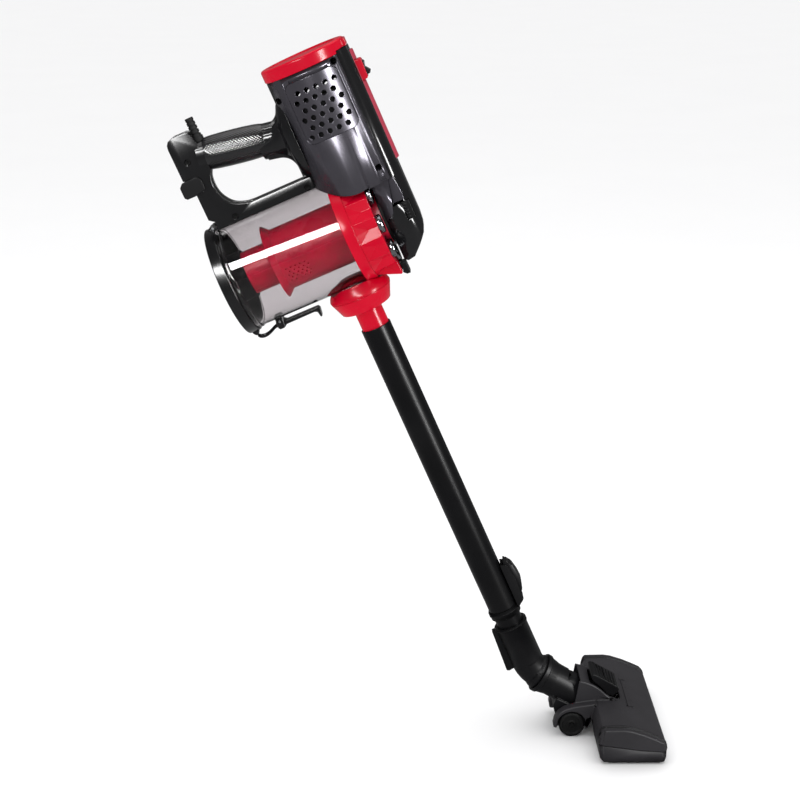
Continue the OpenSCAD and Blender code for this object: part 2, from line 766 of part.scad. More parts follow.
module hepa_filter() {
  color([0.85, 0.85, 0.82]) hand() difference() {
    union() {
      translate([-39, 0, cz]) rotate([90, 0, 90]) linear_extrude(50)
        polygon([for (k = [0 : 71]) (k % 2 == 0 ? 26 : 20.5) * [cos(k * 5), sin(k * 5)]]);
      xcyl(-40.5, -37.6, cz, 26.6);
      xcyl(10, 13.4, cz, 26.6);
    }
    xcyl(-37, 20, cz, 15);
  }
}
module cup_seal() {
  color(c_rubber) hand() difference() {
    xcyl(58.4, 61.3, cz, 30.6);
    xcyl(50, 70, cz, 27.2);
  }
}
module corner_catch() {
  color(c_black) hand() union() {
    yext(-9, 9) polygon([[54.2, 55.4], [54.4, 46.8], [53.2, 44.9], [57, 41.4], [61.2, 41.2], [61, 54.4], [59.6, 55.4]]);
  }
}

// ---------------------------------------------------------------- inlet
module inlet_duct() {
  color(c_red) hand() difference() {
    union() {
      translate([0, 0, 24]) cylinder(r1 = 28.6, r2 = 35.6, h = 17);
      translate([0, 0, 41]) cylinder(r1 = 36.1, r2 = 35.6, h = 7);
      translate([0, 0, 48]) cylinder(r1 = 35.6, r2 = 25, h = 16);
      cylinder(r = 15.9, h = 26);
      translate([0, 0, 21]) cylinder(r = 18.4, h = 4);
      // root of the spigot that stands inside the wand
      translate([0, 0, -34]) cylinder(r1 = 15.5, r2 = 15.8, h = 35);
    }
    // bed for the cup and for the ring
    xcyl(-60, 14.3, cz, cr + 0.4);
    xcyl(14, 60, cz, ring_r + 0.4);
    yext(-17.5, 17.5) polygon([[26.6, 72], [26.6, 54.8], [53, 44.2], [60, 44], [60, 72]]);
    translate([0, 0, -40]) cylinder(r = 13.4, h = 70);
    translate([0, 0, 27]) cylinder(r1 = 13.4, r2 = 24, h = 15);
    translate([-2, 0, 41]) cylinder(r = 15, h = 30);
    // flange hole for the flap pin
    ycyl(-14.2, 45, 0.9, -18, 18);
  }
}
module inlet_flap() {
  color(c_rubber) hand() difference() {
    union() {
      translate([-0.4, 0, 43.6]) cylinder(r = 13, h = 1.6);
      ycyl(-14.2, 45, 0.7, -17, 17);
      box(-14.4, -8, -8, 8, 44.2, 45.2);
    }
  }
}

// ---------------------------------------------------------------- wand
module outer_tube() {
  color(c_black) hand() difference() {
    union() {
      translate([0, 0, -tube_len]) cylinder(r = tube_d / 2, h = tube_len - 0.3);
    }
    translate([0, 0, -tube_len - 1]) cylinder(r = inner_d / 2 + 0.35, h = tube_len + 5);
    // window for the lock tooth
    translate([10, -4.5, -358]) cube([10, 9, 22]);
  }
}
module lock_collar() {
  color(c_dark) hand() difference() {
    union() {
      translate([0, 0, -386.4]) cylinder(r = 18.6, h = 10.2);
      translate([0, 0, -382]) cylinder(r = 19.4, h = 4);
      // cradle for the slider on the front of the wand
      yext(-9, 9) polygon([[17.7, -382], [22.8, -377], [27.4, -373], [27.4, -366], [20.2, -366], [20.2, -327],
        [17.7, -324]]);
      yext(-10.2, -8.6) polygon([[17.6, -381], [26.5, -374], [28.2, -345], [25.5, -327], [20, -323.5], [17.6, -323]]);
      yext(8.6, 10.2) polygon([[17.6, -381], [26.5, -374], [28.2, -345], [25.5, -327], [20, -323.5], [17.6, -323]]);
    }
    translate([0, 0, -390]) cylinder(r = inner_d / 2 + 0.3, h = 14);
    translate([0, 0, -376.2]) cylinder(r = tube_d / 2 + 0.1, h = 80);
    translate([14, -4, -356]) cube([12, 8, 18]);
  }
}
module lock_slider() {
  color(c_black) hand() difference() {
    union() {
      yext(-8.3, 8.3) polygon([[20.6, -363], [20.6, -325], [22.9, -320.6], [26.6, -322.6], [30.7, -329.4],
        [32.9, -340], [33.6, -350.2], [30.9, -360.2], [29.5, -363]]);
      for (k = [0 : 3]) ycyl(23.6 + k * 1.8, -320.9 - k * 2.1, 1, -7.8, 7.8);
      // lock tooth reaching through the wand wall
      box(16.4, 22, -3.4, 3.4, -349, -342);
    }
    box(20, 24.5, -3.6, 3.6, -361.5, -351.5);
  }
}
module lock_spring() {
  color(c_steel) hand() translate([22.3, 0, -361.2]) coil(1.1, 0.6, 8, 1.15);
}
module inner_tube() {
  color(c_black) hand() difference() {
    translate([0, 0, -434]) cylinder(r = inner_d / 2, h = 396);
    translate([0, 0, -440]) cylinder(r = inner_d / 2 - 1.2, h = 410);
    // lock notches along the front
    for (k = [0 : 9]) translate([15.6, -4, -350.5 + k * 28 - 0]) cube([4, 8, 10]);
  }
}

// ---------------------------------------------------------------- floor head
module elbow_path(r) {
  translate([0, 0, -sock_s - e]) cylinder(r = r, h = 52.7 + e);
  translate([bend_r, 0, -sock_s]) rotate([-90, 0, 0]) rotate([0, 0, 179 - bend])
    rotate_extrude(angle = bend + 2) translate([bend_r, 0]) circle(r = r - 0.1);
}
module elbow() {
  color(c_black) difference() {
    union() {
      hand() {
        elbow_path(19.2);
        translate([0, 0, -402.2]) cylinder(r = 20.2, h = 3.4);
        // parking hook fin at the back
        yext(-4, 4) polygon([[-18, -400.4], [-24.2, -400.6], [-27.4, -454.6], [-24.4, -456], [-17.6, -455]]);
      }
      neckf() {
        translate([0, 0, -7]) cylinder(r1 = 19.2, r2 = 22.4, h = 7);
        translate([0, 0, -0.1]) cylinder(r = 19, h = 9.6);
        translate([0, 0, 6.4]) cylinder(r = 19.9, h = 2.2);
      }
    }
    hand() {
      translate([0, 0, -436]) cylinder(r = inner_d / 2 + 0.35, h = 60);
      elbow_path(14.6);
    }
    neckf() translate([0, 0, -2]) cylinder(r = 14.6, h = 30);
  }
}
module swivel_ring() {
  color(c_dark) neckf() difference() {
    union() {
      translate([0, 0, 0.4]) cylinder(r = 24.2, h = 5.4);
    }
    translate([0, 0, -1]) cylinder(r = 19.35, h = 10);
    translate([0, 0, 5.3]) cylinder(r = 20.3, h = 4);
  }
}
module neck() {
  color(c_black) difference() {
    union() {
      neckf() translate([0, 0, 6]) cylinder(r1 = 23, r2 = 20.5, h = 12);
      intersection() {
        neckf() translate([0, 0, 17.9]) cylinder(r = 20.5, h = 60);
        ycyl(ax, az, 50.6, -21, 21);
      }
      neckf() translate([0, 0, 17]) cylinder(r = 20.5, h = 14);
      // arm down to the axle barrel
      yext(-20.6, 20.6) polygon([[-84, 34], [-78, 12], [-73, 7.5], [-62, 5.6], [-54, 9], [-51, 16], [-54, 26],
        [-64, 36], [-80, 44]]);
    }
    neckf() translate([0, 0, 5]) cylinder(r = 20.3, h = 5.6);
    neckf() translate([0, 0, 8]) cylinder(r = 16.5, h = 90);
    ycyl(ax, az, 3.2, -30, 30);
    // hollow the arm
    yext(-17.4, 17.4) polygon([[-56, 28], [-54.4, 24], [-40, 24], [-40, 36]]);
  }
}
module head_axle() {
  color(c_steel) difference() {
    union() {
      ycyl(ax, az, 3, -34.4, 34.4);
      // pin of the pedal
      ycyl(-15, 43.2, 1.5, -22.6, 22.6);
    }
  }
}
module wheel(s) {
  difference() {
    union() {
      ycyl(ax, az, wheel_d / 2, s > 0 ? 25.2 : -32.6, s > 0 ? 32.6 : -25.2);
      ycyl(ax, az, wheel_d / 2 - 1.2, s > 0 ? 24.7 : -33.2, s > 0 ? 33.2 : -24.7);
    }
    ycyl(ax, az, 3.2, -40, 40);
    // recessed outer face
    difference() {
      ycyl(ax, az, 11.2, s > 0 ? 31.4 : -40, s > 0 ? 40 : -31.4);
      ycyl(ax, az, 5.4, -40, 40);
    }
  }
}
module wheel_right() {
  color(c_rubber) wheel(-1);
}
module wheel_left() {
  color(c_rubber) wheel(1);
}
module shell2d() {
  polygon([[-38.5, 24.8], [-37.6, 34], [-35.6, 40.4], [-32.6, 43.2], [-9, 43.6], [0, 42.2], [14, 37.6],
    [28, 31.6], [37, 27.2], [40.6, 24.4], [41.6, 20], [41.4, 15.2], [9, 17.6]]);
}
module plan2d(k) {
  offset(r = 6 - k, $fn = 32) translate([-38.5 + 6, -head_w / 2 + 6]) square([80.1 - 12, head_w - 12]);
}
module shoulder2d() {
  polygon([[-83.4, 9], [-84.4, 16], [-82.6, 24], [-78, 31], [-71, 36], [-60, 39.4], [-46, 41.6], [-34, 43.2],
    [4, 41.4], [4, 26], [-30, 24], [-44, 24], [-44, 12], [-50, 8]]);
}
module head_shell() {
  color(c_dark) difference() {
    union() {
      intersection() {
        yext(-head_w / 2, head_w / 2) shell2d();
        translate([0, 0, -5]) linear_extrude(80) plan2d(0);
      }
      // fenders over the two wheels, carried by cheeks beside the neck
      yext(-34.2, 34.2) shoulder2d();
      // round hood, centred on the axle
      intersection() {
        ycyl(ax, az, 54, -24.2, 24.2);
        yext(-30, 30) polygon([[-62.4, 15.3], [-51.9, 80], [0, 80], [0, 30], [-30, 20]]);
      }
      yext(-24.2, 24.2) polygon([[-24, 52.6], [-14, 45.4], [-4, 42.6], [-4, 30], [-40, 30], [-30, 55]]);
    }
    // hollow underside
    difference() {
      yext(-head_w / 2 + 2.4, head_w / 2 - 2.4) offset(delta = -2.4) union() {
        shell2d();
        translate([-30, 0]) square([60, 30]);
      }
      for (p = [[-24, -84], [-24, 84], [30, -84], [30, 84]]) translate([p[0], p[1], 5]) cylinder(r = 3.6, h = 60);
    }
    yext(-head_w / 2 + 2.4, head_w / 2 - 2.4) polygon([[-36, 10], [39, 10], [39, 20], [-36, 27]]);
    ycyl(ax, az, 51.5, -21.6, 21.6);
    // room for the neck to lean back
    yext(-21.6, 21.6) polygon([[-120, 70], [-57, 100], [ax + 54 * cos(79), az + 54 * sin(79)], [ax, az],
      [-70, -4], [-120, -4]]);
    // wheel wells
    for (s = [-1, 1]) {
      ycyl(ax, az, 17.4, s > 0 ? 24.2 : -40, s > 0 ? 40 : -24.2);
      translate([0, s * 32.1, 0]) box(-90, ax + 17.4, -7.9, 7.9, -5, 12);
    }
    ycyl(ax, az, 3.2, -40, 40);
    // pedal pocket
    box(-40, -4.5, -19, 19, 41, 90);
    box(-41, -3.5, -16, 16, 30, 60);
    ycyl(-15, 43.2, 1.6, -24.8, 24.8);
    // pilot holes for the sole screws
    for (p = [[-24, -84], [-24, 84], [30, -84], [30, 84]]) translate([p[0], p[1], 0]) cylinder(r = 1.6, h = 30);
    // raised double bead near each end is cut in as two grooves
    for (s = [-1, 1]) for (g = [0, 3.4]) translate([0, s * (head_w / 2 - 7.5 - g), 0]) yext(-0.5, 0.5)
      difference() {
        polygon([[-38, 30], [-36.4, 41.6], [-32.6, 44.6], [-9, 45], [0, 43.6], [14, 39], [28, 33], [37, 28.6],
          [43, 25], [43, 16], [41, 16], [39.6, 24], [36.6, 26.2], [28, 30.8], [14, 36.8], [0, 41.4], [-9, 42.8],
          [-32.2, 42.4], [-34.8, 39.6], [-36.6, 30]]);
      }
  }
}
module head_sole() {
  color(c_dark) difference() {
    union() {
      difference() {
        intersection() {
          yext(-head_w / 2 + 0.4, head_w / 2 - 0.4) polygon([[-38, 24.3], [9, 17.1], [41, 14.8], [41.2, 8], [38, 3.2],
            [-32, 3.2], [-36.4, 8]]);
          translate([0, 0, -5]) linear_extrude(80) plan2d(0.4);
        }
        yext(-head_w / 2 + 2.8, head_w / 2 - 2.8) polygon([[-34.4, 40], [38.6, 40], [38.6, 9], [36.6, 5.8],
          [-31, 5.8], [-34.4, 9.4]]);
      }
      // skids the head rests on
      for (s = [-1, 1]) translate([0, s * 91, 0]) box(-26, 34, -3.4, 3.4, 0, 3.4);
      box(24, 30, -60, 60, 0, 3.4);
      // foot rib across the suction mouth
      box(-12, 16, -3, 3, 0, 5.6);
      for (p = [[-24, -84], [-24, 84], [30, -84], [30, 84]]) translate([p[0], p[1], 3.2]) cylinder(r = 4, h = 4);
    }
    // suction mouth
    for (s = [-1, 1]) yext(s > 0 ? 3 : -78, s > 0 ? 78 : -3) polygon([[-9, -1], [13, -1], [13, 7], [-9, 7]]);
    box(-24, -9.1, -20, 20, -1, 7);
    // slots for the two brush strips
    for (x = [-15, 18]) box(x - 2.6, x + 2.6, -80, 80, -1, 7);
    for (p = [[-24, -84], [-24, 84], [30, -84], [30, 84]]) {
      translate([p[0], p[1], -1]) cylinder(r = 1.7, h = 20);
      translate([p[0], p[1], -1]) cylinder(r = 3.3, h = 4.7);
    }
    // rear opening under the hood
    box(-50, -30, -24.6, 24.6, 12, 40);
    box(-50, -30, -36, 36, 6.4, 30);
  }
}
module head_screws() {
  color(c_steel) for (p = [[-24, -84], [-24, 84], [30, -84], [30, 84]]) translate([p[0], p[1], 0]) {
    translate([0, 0, 3.3]) cylinder(r = 1.45, h = 14.4);
    difference() {
      translate([0, 0, 1.2]) cylinder(r = 3, h = 2.2);
      translate([0, 0, 0.6]) cylinder(r = 1.3, h = 1.8, $fn = 6);
    }
  }
}
module pedal() {
  color(c_black) difference() {
    union() {
      yext(-18.4, 18.4) polygon([[-39.4, 72], [-37.8, 74.2], [-34.5, 74], [-6, 57.6], [-5.2, 55.4], [-6.4, 50.5],
        [-12, 47], [-18, 47.2], [-22, 52], [-28, 58.4], [-36, 65]]);
      for (k = [0 : 6]) translate([-31.5 + k * 3.6, 0, 72.3 - k * 2.07]) rotate([0, 30, 0])
        box(-0.7, 0.7, -16, 16, -1, 1);
      ycyl(-15, 43.2, 3.4, -15.4, 15.4);
      box(-17, -12.6, -15.4, 15.4, 43, 50);
      // lever that drives the brush frame
      box(-16, -8, -4, 4, 41, 45);
      box(-11.6, -8, -4, 4, 28, 44);
    }
    ycyl(-15, 43.2, 1.6, -30, 30);
  }
}
module brush_frame() {
  color(c_black) union() {
    for (x = [-15, 18]) {
      box(x - 2.1, x + 2.1, -78, 78, 8.4, 13);
      box(x - 1.6, x + 1.6, -77, 77, 4.4, 8.6);
    }
    for (y = [-60, -26, 26, 60]) box(-16, 19, y - 2.5, y + 2.5, 10, 13);
  }
}

casing_right();
casing_left();
casing_screws();
top_cap();
exhaust_grille_right();
exhaust_grille_left();
exhaust_foam();
spine_cover();
spine_strip();
switch_bezel();
rocker_switch();
switch_block();
release_button_right();
release_button_left();
release_springs();
strain_relief();
cord_clip();
grip_sleeve();
power_lead();
motor_can();
motor_shaft();
armature();
impeller();
fan_cover();
motor_mounts();
motor_bearings();
carbon_brushes();
dust_cup();
cup_lid();
lid_seal();
lid_pin();
lid_latch();
latch_pin();
cyclone_ring();
cyclone_cones();
cyclone_caps();
shroud();
dust_funnel();
funnel_seal();
hepa_filter();
cup_seal();
corner_catch();
inlet_duct();
inlet_flap();
outer_tube();
lock_collar();
lock_slider();
lock_spring();
inner_tube();
elbow();
swivel_ring();
neck();
head_axle();
wheel_right();
wheel_left();
head_shell();
head_sole();
head_screws();
pedal();
brush_frame();
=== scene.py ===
"""Corded stick vacuum cleaner: finish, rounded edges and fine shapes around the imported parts.

Outlines in the builders are in millimetres, in the hand unit's axes (x forward, z up along the
wand) or in the turned axes of the cup and the grip. A mesh is made in metres, in the shared frame.
"""
import json
import math

import bmesh
import bpy
from bpy.props import FloatProperty, FloatVectorProperty, IntProperty, PointerProperty
from mathutils import Matrix, Vector
from mathutils.bvhtree import BVHTree

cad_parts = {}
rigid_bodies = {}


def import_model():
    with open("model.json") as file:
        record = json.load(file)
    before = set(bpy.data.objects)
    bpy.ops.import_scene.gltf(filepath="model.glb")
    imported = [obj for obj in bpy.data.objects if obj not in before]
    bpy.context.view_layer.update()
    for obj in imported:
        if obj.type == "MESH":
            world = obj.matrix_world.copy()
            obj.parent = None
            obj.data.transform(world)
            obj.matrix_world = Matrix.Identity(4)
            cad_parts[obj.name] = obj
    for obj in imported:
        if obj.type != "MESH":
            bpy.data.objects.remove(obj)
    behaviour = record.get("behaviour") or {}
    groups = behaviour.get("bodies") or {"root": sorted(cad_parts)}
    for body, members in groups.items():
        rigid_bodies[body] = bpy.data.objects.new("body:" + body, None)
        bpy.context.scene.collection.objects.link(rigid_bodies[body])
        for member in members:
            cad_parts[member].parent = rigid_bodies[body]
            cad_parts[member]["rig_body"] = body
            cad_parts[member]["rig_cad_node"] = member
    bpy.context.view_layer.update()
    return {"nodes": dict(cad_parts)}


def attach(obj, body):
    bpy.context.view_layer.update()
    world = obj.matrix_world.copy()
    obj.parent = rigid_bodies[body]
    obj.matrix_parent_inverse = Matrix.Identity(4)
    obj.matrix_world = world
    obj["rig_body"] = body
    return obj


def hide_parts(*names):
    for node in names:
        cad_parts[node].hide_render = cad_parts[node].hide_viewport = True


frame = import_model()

bl_info = {
    "name": "Stick Vacuum Builder",
    "version": (1, 0, 0),
    "blender": (4, 5, 0),
    "location": "3D View > Sidebar > Stick Vacuum",
    "description": "Builds the finish and fine shapes of a corded stick vacuum cleaner",
    "category": "Object",
}

NODES = frame["nodes"]
MM = 0.001

# where the hand unit's axes stand: top end of the outer tube, leaning back
WAND_LEAN = 23.5
WAND_TOP = (-295.23, 0.0, 500.97)
CUP_AXIS = 111.0
GRIP_FOOT = (-100, 0, 251)
GRIP_TURN = 99.5

# how a part's edges are found, rounded and shaded
WELD_GAP = 1e-5
FLAT_ANGLE = 0.6
SHARP_ANGLE = 28.0
EDGE_SEGMENTS = 3
SHADE_WEIGHT = 60
SHADED_EDGE = 0.0006

# how finely outlines are divided
CORNER_STEPS = 5
RIM_STEPS = 3
WIRE_SIDES = 14
TURNED_SIDES = 160

# the camera, in metres, degrees and millimetres of lens
CAMERA_PLACE = (-0.279, -1.712, 0.938)
CAMERA_DIP = 17.06
CAMERA_YAW = -0.38
CAMERA_LENS = 70.56
CAMERA_SENSOR = 36.0
CAMERA_FAR = 200.0


def axes(origin, about_y):
    """A local frame in millimetres at origin, turned about the width axis."""
    return (Matrix.Translation(Vector(origin) * MM)
            @ Matrix.Rotation(math.radians(about_y), 4, "Y") @ Matrix.Scale(MM, 4))


HAND = axes(WAND_TOP, -WAND_LEAN)
CUP = HAND @ Matrix.Translation((0, 0, CUP_AXIS)) @ Matrix.Rotation(math.radians(90), 4, "Y")
GRIP = HAND @ Matrix.Translation(GRIP_FOOT) @ Matrix.Rotation(math.radians(GRIP_TURN), 4, "Y")


# ---------------------------------------------------------------- settings
def length(name, text, value, low=0.0001, high=1.0):
    """A length setting in metres."""
    return FloatProperty(name=name, description=text, default=value, min=low, max=high,
                         unit="LENGTH", subtype="DISTANCE")


def tint(name, text, value):
    """A colour setting."""
    return FloatVectorProperty(name=name, description=text, default=value, size=3, min=0.0,
                               max=1.0, subtype="COLOR")


class VacuumHandSizes(bpy.types.PropertyGroup):
    """Sizes of the handle and its grip"""
    handle_reach: FloatProperty(name="Handle reach", description="Where the black handle ends and "
                                "the gunmetal barrel begins, forward of the wand",
                                default=0.006, min=-0.1, max=0.1, unit="LENGTH")
    scale_height: length("Grip scale height", "How far the grip's woven scales stand up", 0.00032)
    scales_round: IntProperty(name="Scales around", description="Woven scales around the grip",
                              default=34, min=12, max=60)
    scales_long: IntProperty(name="Scales along", description="Rows of woven scales along the grip",
                             default=19, min=6, max=40)


class VacuumCupSizes(bpy.types.PropertyGroup):
    """Sizes of the dust cup, its ring and its latch"""
    cup_radius: length("Cup radius", "Outside radius of the clear dust cup", 0.0592)
    cup_wall: length("Cup wall", "Wall of the clear dust cup", 0.0022)
    pleats: IntProperty(name="Pleats", description="Facets around the cyclone ring", default=16,
                        min=8, max=32)
    wire_radius: length("Latch wire", "Radius of the latch's wire loop", 0.0014)


class VacuumFloorSizes(bpy.types.PropertyGroup):
    """Rounding of the wand and the floor head"""
    shell_edge: length("Head edge", "Rounding of the floor head's edges", 0.0016)
    wand_edge: length("Wand edge", "Rounding of edges along the wand", 0.0005)


class VacuumColours(bpy.types.PropertyGroup):
    """Colours of the mouldings"""
    gunmetal: tint("Gunmetal", "Gloss casing of the motor body", (0.080, 0.075, 0.090))
    red: tint("Red", "Gloss red of cap, ring and inlet", (0.64, 0.0, 0.020))
    deep_red: tint("Deep red", "Shroud and funnel inside the cup", (0.50, 0.003, 0.030))
    # painted sheen: the strip's red is set lighter and pinker than the gloss red; partly the
    # strip's own duller red, partly white light glancing off its gloss, painted into the colour
    strip: tint("Strip red", "Duller red strip down the spine", (0.46, 0.03, 0.065))
    black: tint("Black", "Gloss black mouldings", (0.0045, 0.0045, 0.0055))
    head: tint("Head", "Dark grey plastic of the floor head", (0.026, 0.0245, 0.028))
    tube: tint("Tube", "Painted wand tubes", (0.0045, 0.0045, 0.0052))
    smoke: tint("Smoke", "Tint of the clear cup", (0.73, 0.70, 0.71))


class VacuumStage(bpy.types.PropertyGroup):
    """Size of the floor and strength of the light"""
    floor_half: length("Floor half width", "Half the width of the floor", 30.0, 1.0, 100.0)
    key_power: FloatProperty(name="Key light", description="Power of the main soft light",
                             default=34.0, min=0.0, unit="POWER")
    side_power: FloatProperty(name="Side light", description="Power of the narrow side light",
                              default=60.0, min=0.0, unit="POWER")
    sky: FloatProperty(name="Surround", description="Brightness of the white surround",
                       default=1.04, min=0.0, max=2.0)
    sky_gloss: FloatProperty(name="Surround in gloss", description="How bright the surround is in "
                             "reflections", default=0.15, min=0.0, max=2.0)
    top_power: FloatProperty(name="Top light", description="Power of the overhead soft light",
                             default=20.0, min=0.0, unit="POWER")


GROUPS = (
    ("vacuum_hand", VacuumHandSizes), ("vacuum_cup", VacuumCupSizes),
    ("vacuum_floor", VacuumFloorSizes), ("vacuum_colours", VacuumColours),
    ("vacuum_stage", VacuumStage),
)


def settings(name):
    """The scene's values for one group of settings."""
    return getattr(bpy.context.scene, name)


# ---------------------------------------------------------------- shared effects
def new_group(name, inputs, outputs):
    """An empty shader node group with named sockets; returns it with its two end nodes."""
    tree = bpy.data.node_groups.new(name, "ShaderNodeTree")
    for label, kind, value in inputs:
        socket = tree.interface.new_socket(label, in_out="INPUT", socket_type=kind)
        socket.default_value = value
    for label, kind in outputs:
        tree.interface.new_socket(label, in_out="OUTPUT", socket_type=kind)
    return tree, tree.nodes.new("NodeGroupInput"), tree.nodes.new("NodeGroupOutput")


def chain(tree, kind, inputs=None, **values):
    """Adds a node, sets its properties, and fills its sockets with numbers or links."""
    node = tree.nodes.new(kind)
    for key, value in values.items():
        setattr(node, key, value)
    for key, value in (inputs or {}).items():
        if isinstance(value, bpy.types.NodeSocket):
            tree.links.new(value, node.inputs[key])
        else:
            node.inputs[key].default_value = value
    return node


def moulded_grain():
    """Fine moulded texture: a height and a roughness that drift over the surface."""
    tree, source, sink = new_group(
        "Moulded Grain",
        [("Scale", "NodeSocketFloat", 900.0), ("Smooth", "NodeSocketFloat", 0.2),
         ("Rough", "NodeSocketFloat", 0.3)],
        [("Height", "NodeSocketFloat"), ("Roughness", "NodeSocketFloat")])
    place = chain(tree, "ShaderNodeTexCoord")
    fine = chain(tree, "ShaderNodeTexNoise", {"Vector": place.outputs["Object"],
                 "Scale": source.outputs["Scale"], "Detail": 3.0, "Roughness": 0.6})
    broad = chain(tree, "ShaderNodeTexNoise", {"Vector": place.outputs["Object"], "Scale": 14.0,
                  "Detail": 4.0, "Roughness": 0.55})
    level = chain(tree, "ShaderNodeMapRange", {"Value": broad.outputs["Fac"], "From Min": 0.3,
                  "From Max": 0.7, "To Min": source.outputs["Smooth"],
                  "To Max": source.outputs["Rough"]})
    tree.links.new(fine.outputs["Fac"], sink.inputs["Height"])
    tree.links.new(level.outputs["Result"], sink.inputs["Roughness"])
    return tree


def tone_drift():
    """Two close tones of one colour, mixed by a slow noise."""
    tree, source, sink = new_group(
        "Tone Drift",
        [("Light", "NodeSocketColor", (0.5, 0.5, 0.5, 1)),
         ("Deep", "NodeSocketColor", (0.4, 0.4, 0.4, 1)),
         ("Scale", "NodeSocketFloat", 20.0)],
        [("Colour", "NodeSocketColor")])
    place = chain(tree, "ShaderNodeTexCoord")
    noise = chain(tree, "ShaderNodeTexNoise", {"Vector": place.outputs["Object"],
                  "Scale": source.outputs["Scale"], "Detail": 5.0, "Roughness": 0.5})
    spread = chain(tree, "ShaderNodeMapRange", {"Value": noise.outputs["Fac"], "From Min": 0.32,
                   "From Max": 0.68})
    mix = chain(tree, "ShaderNodeMix", {"Factor": spread.outputs["Result"],
                "A": source.outputs["Deep"], "B": source.outputs["Light"]}, data_type="RGBA")
    tree.links.new(mix.outputs["Result"], sink.inputs["Colour"])
    return tree


def edge_wear():
    """A mask along sharp outside edges, broken up by noise."""
    tree, source, sink = new_group(
        "Edge Wear", [("Amount", "NodeSocketFloat", 0.3), ("Scale", "NodeSocketFloat", 160.0)],
        [("Mask", "NodeSocketFloat")])
    place = chain(tree, "ShaderNodeTexCoord")
    shape = chain(tree, "ShaderNodeNewGeometry")
    edge = chain(tree, "ShaderNodeMapRange", {"Value": shape.outputs["Pointiness"],
                 "From Min": 0.53, "From Max": 0.62})
    noise = chain(tree, "ShaderNodeTexNoise", {"Vector": place.outputs["Object"],
                  "Scale": source.outputs["Scale"], "Detail": 4.0})
    both = chain(tree, "ShaderNodeMath", {0: edge.outputs["Result"], 1: noise.outputs["Fac"]},
                 operation="MULTIPLY")
    mask = chain(tree, "ShaderNodeMath", {0: both.outputs["Value"], 1: source.outputs["Amount"]},
                 operation="MULTIPLY", use_clamp=True)
    tree.links.new(mask.outputs["Value"], sink.inputs["Mask"])
    return tree


def settled_dust():
    """A thin mask on faces that look upward."""
    tree, source, sink = new_group(
        "Settled Dust", [("Amount", "NodeSocketFloat", 0.1)], [("Mask", "NodeSocketFloat")])
    place = chain(tree, "ShaderNodeTexCoord")
    shape = chain(tree, "ShaderNodeNewGeometry")
    split = chain(tree, "ShaderNodeSeparateXYZ", {"Vector": shape.outputs["Normal"]})
    upward = chain(tree, "ShaderNodeMapRange", {"Value": split.outputs["Z"], "From Min": 0.35,
                   "From Max": 1.0})
    noise = chain(tree, "ShaderNodeTexNoise", {"Vector": place.outputs["Object"], "Scale": 55.0,
                  "Detail": 6.0, "Roughness": 0.7})
    both = chain(tree, "ShaderNodeMath", {0: upward.outputs["Result"], 1: noise.outputs["Fac"]},
                 operation="MULTIPLY")
    mask = chain(tree, "ShaderNodeMath", {0: both.outputs["Value"], 1: source.outputs["Amount"]},
                 operation="MULTIPLY", use_clamp=True)
    tree.links.new(mask.outputs["Value"], sink.inputs["Mask"])
    return tree


def soft_edge():
    """Normals that turn smoothly over a short distance at every edge."""
    tree, source, sink = new_group("Soft Edge", [("Radius", "NodeSocketFloat", 0.0006)],
                                   [("Normal", "NodeSocketVector")])
    turn = chain(tree, "ShaderNodeBevel", {"Radius": source.outputs["Radius"]}, samples=6)
    tree.links.new(turn.outputs["Normal"], sink.inputs["Normal"])
    return tree


EFFECTS = {"Soft Edge": soft_edge, "Moulded Grain": moulded_grain, "Tone Drift": tone_drift,
           "Edge Wear": edge_wear, "Settled Dust": settled_dust}


def effect(tree, name, inputs):
    """Places a shared effect in a material, with its own values."""
    group = bpy.data.node_groups.get(name) or EFFECTS[name]()
    node = tree.nodes.new("ShaderNodeGroup")
    node.node_tree = group
    for key, value in inputs.items():
        node.inputs[key].default_value = value
    return node


def new_finish(name):
    """A new material; returns it with its node tree and its shader."""
    made = bpy.data.materials.new(name + "_finish")
    made.use_nodes = True
    return made, made.node_tree, made.node_tree.nodes["Principled BSDF"]


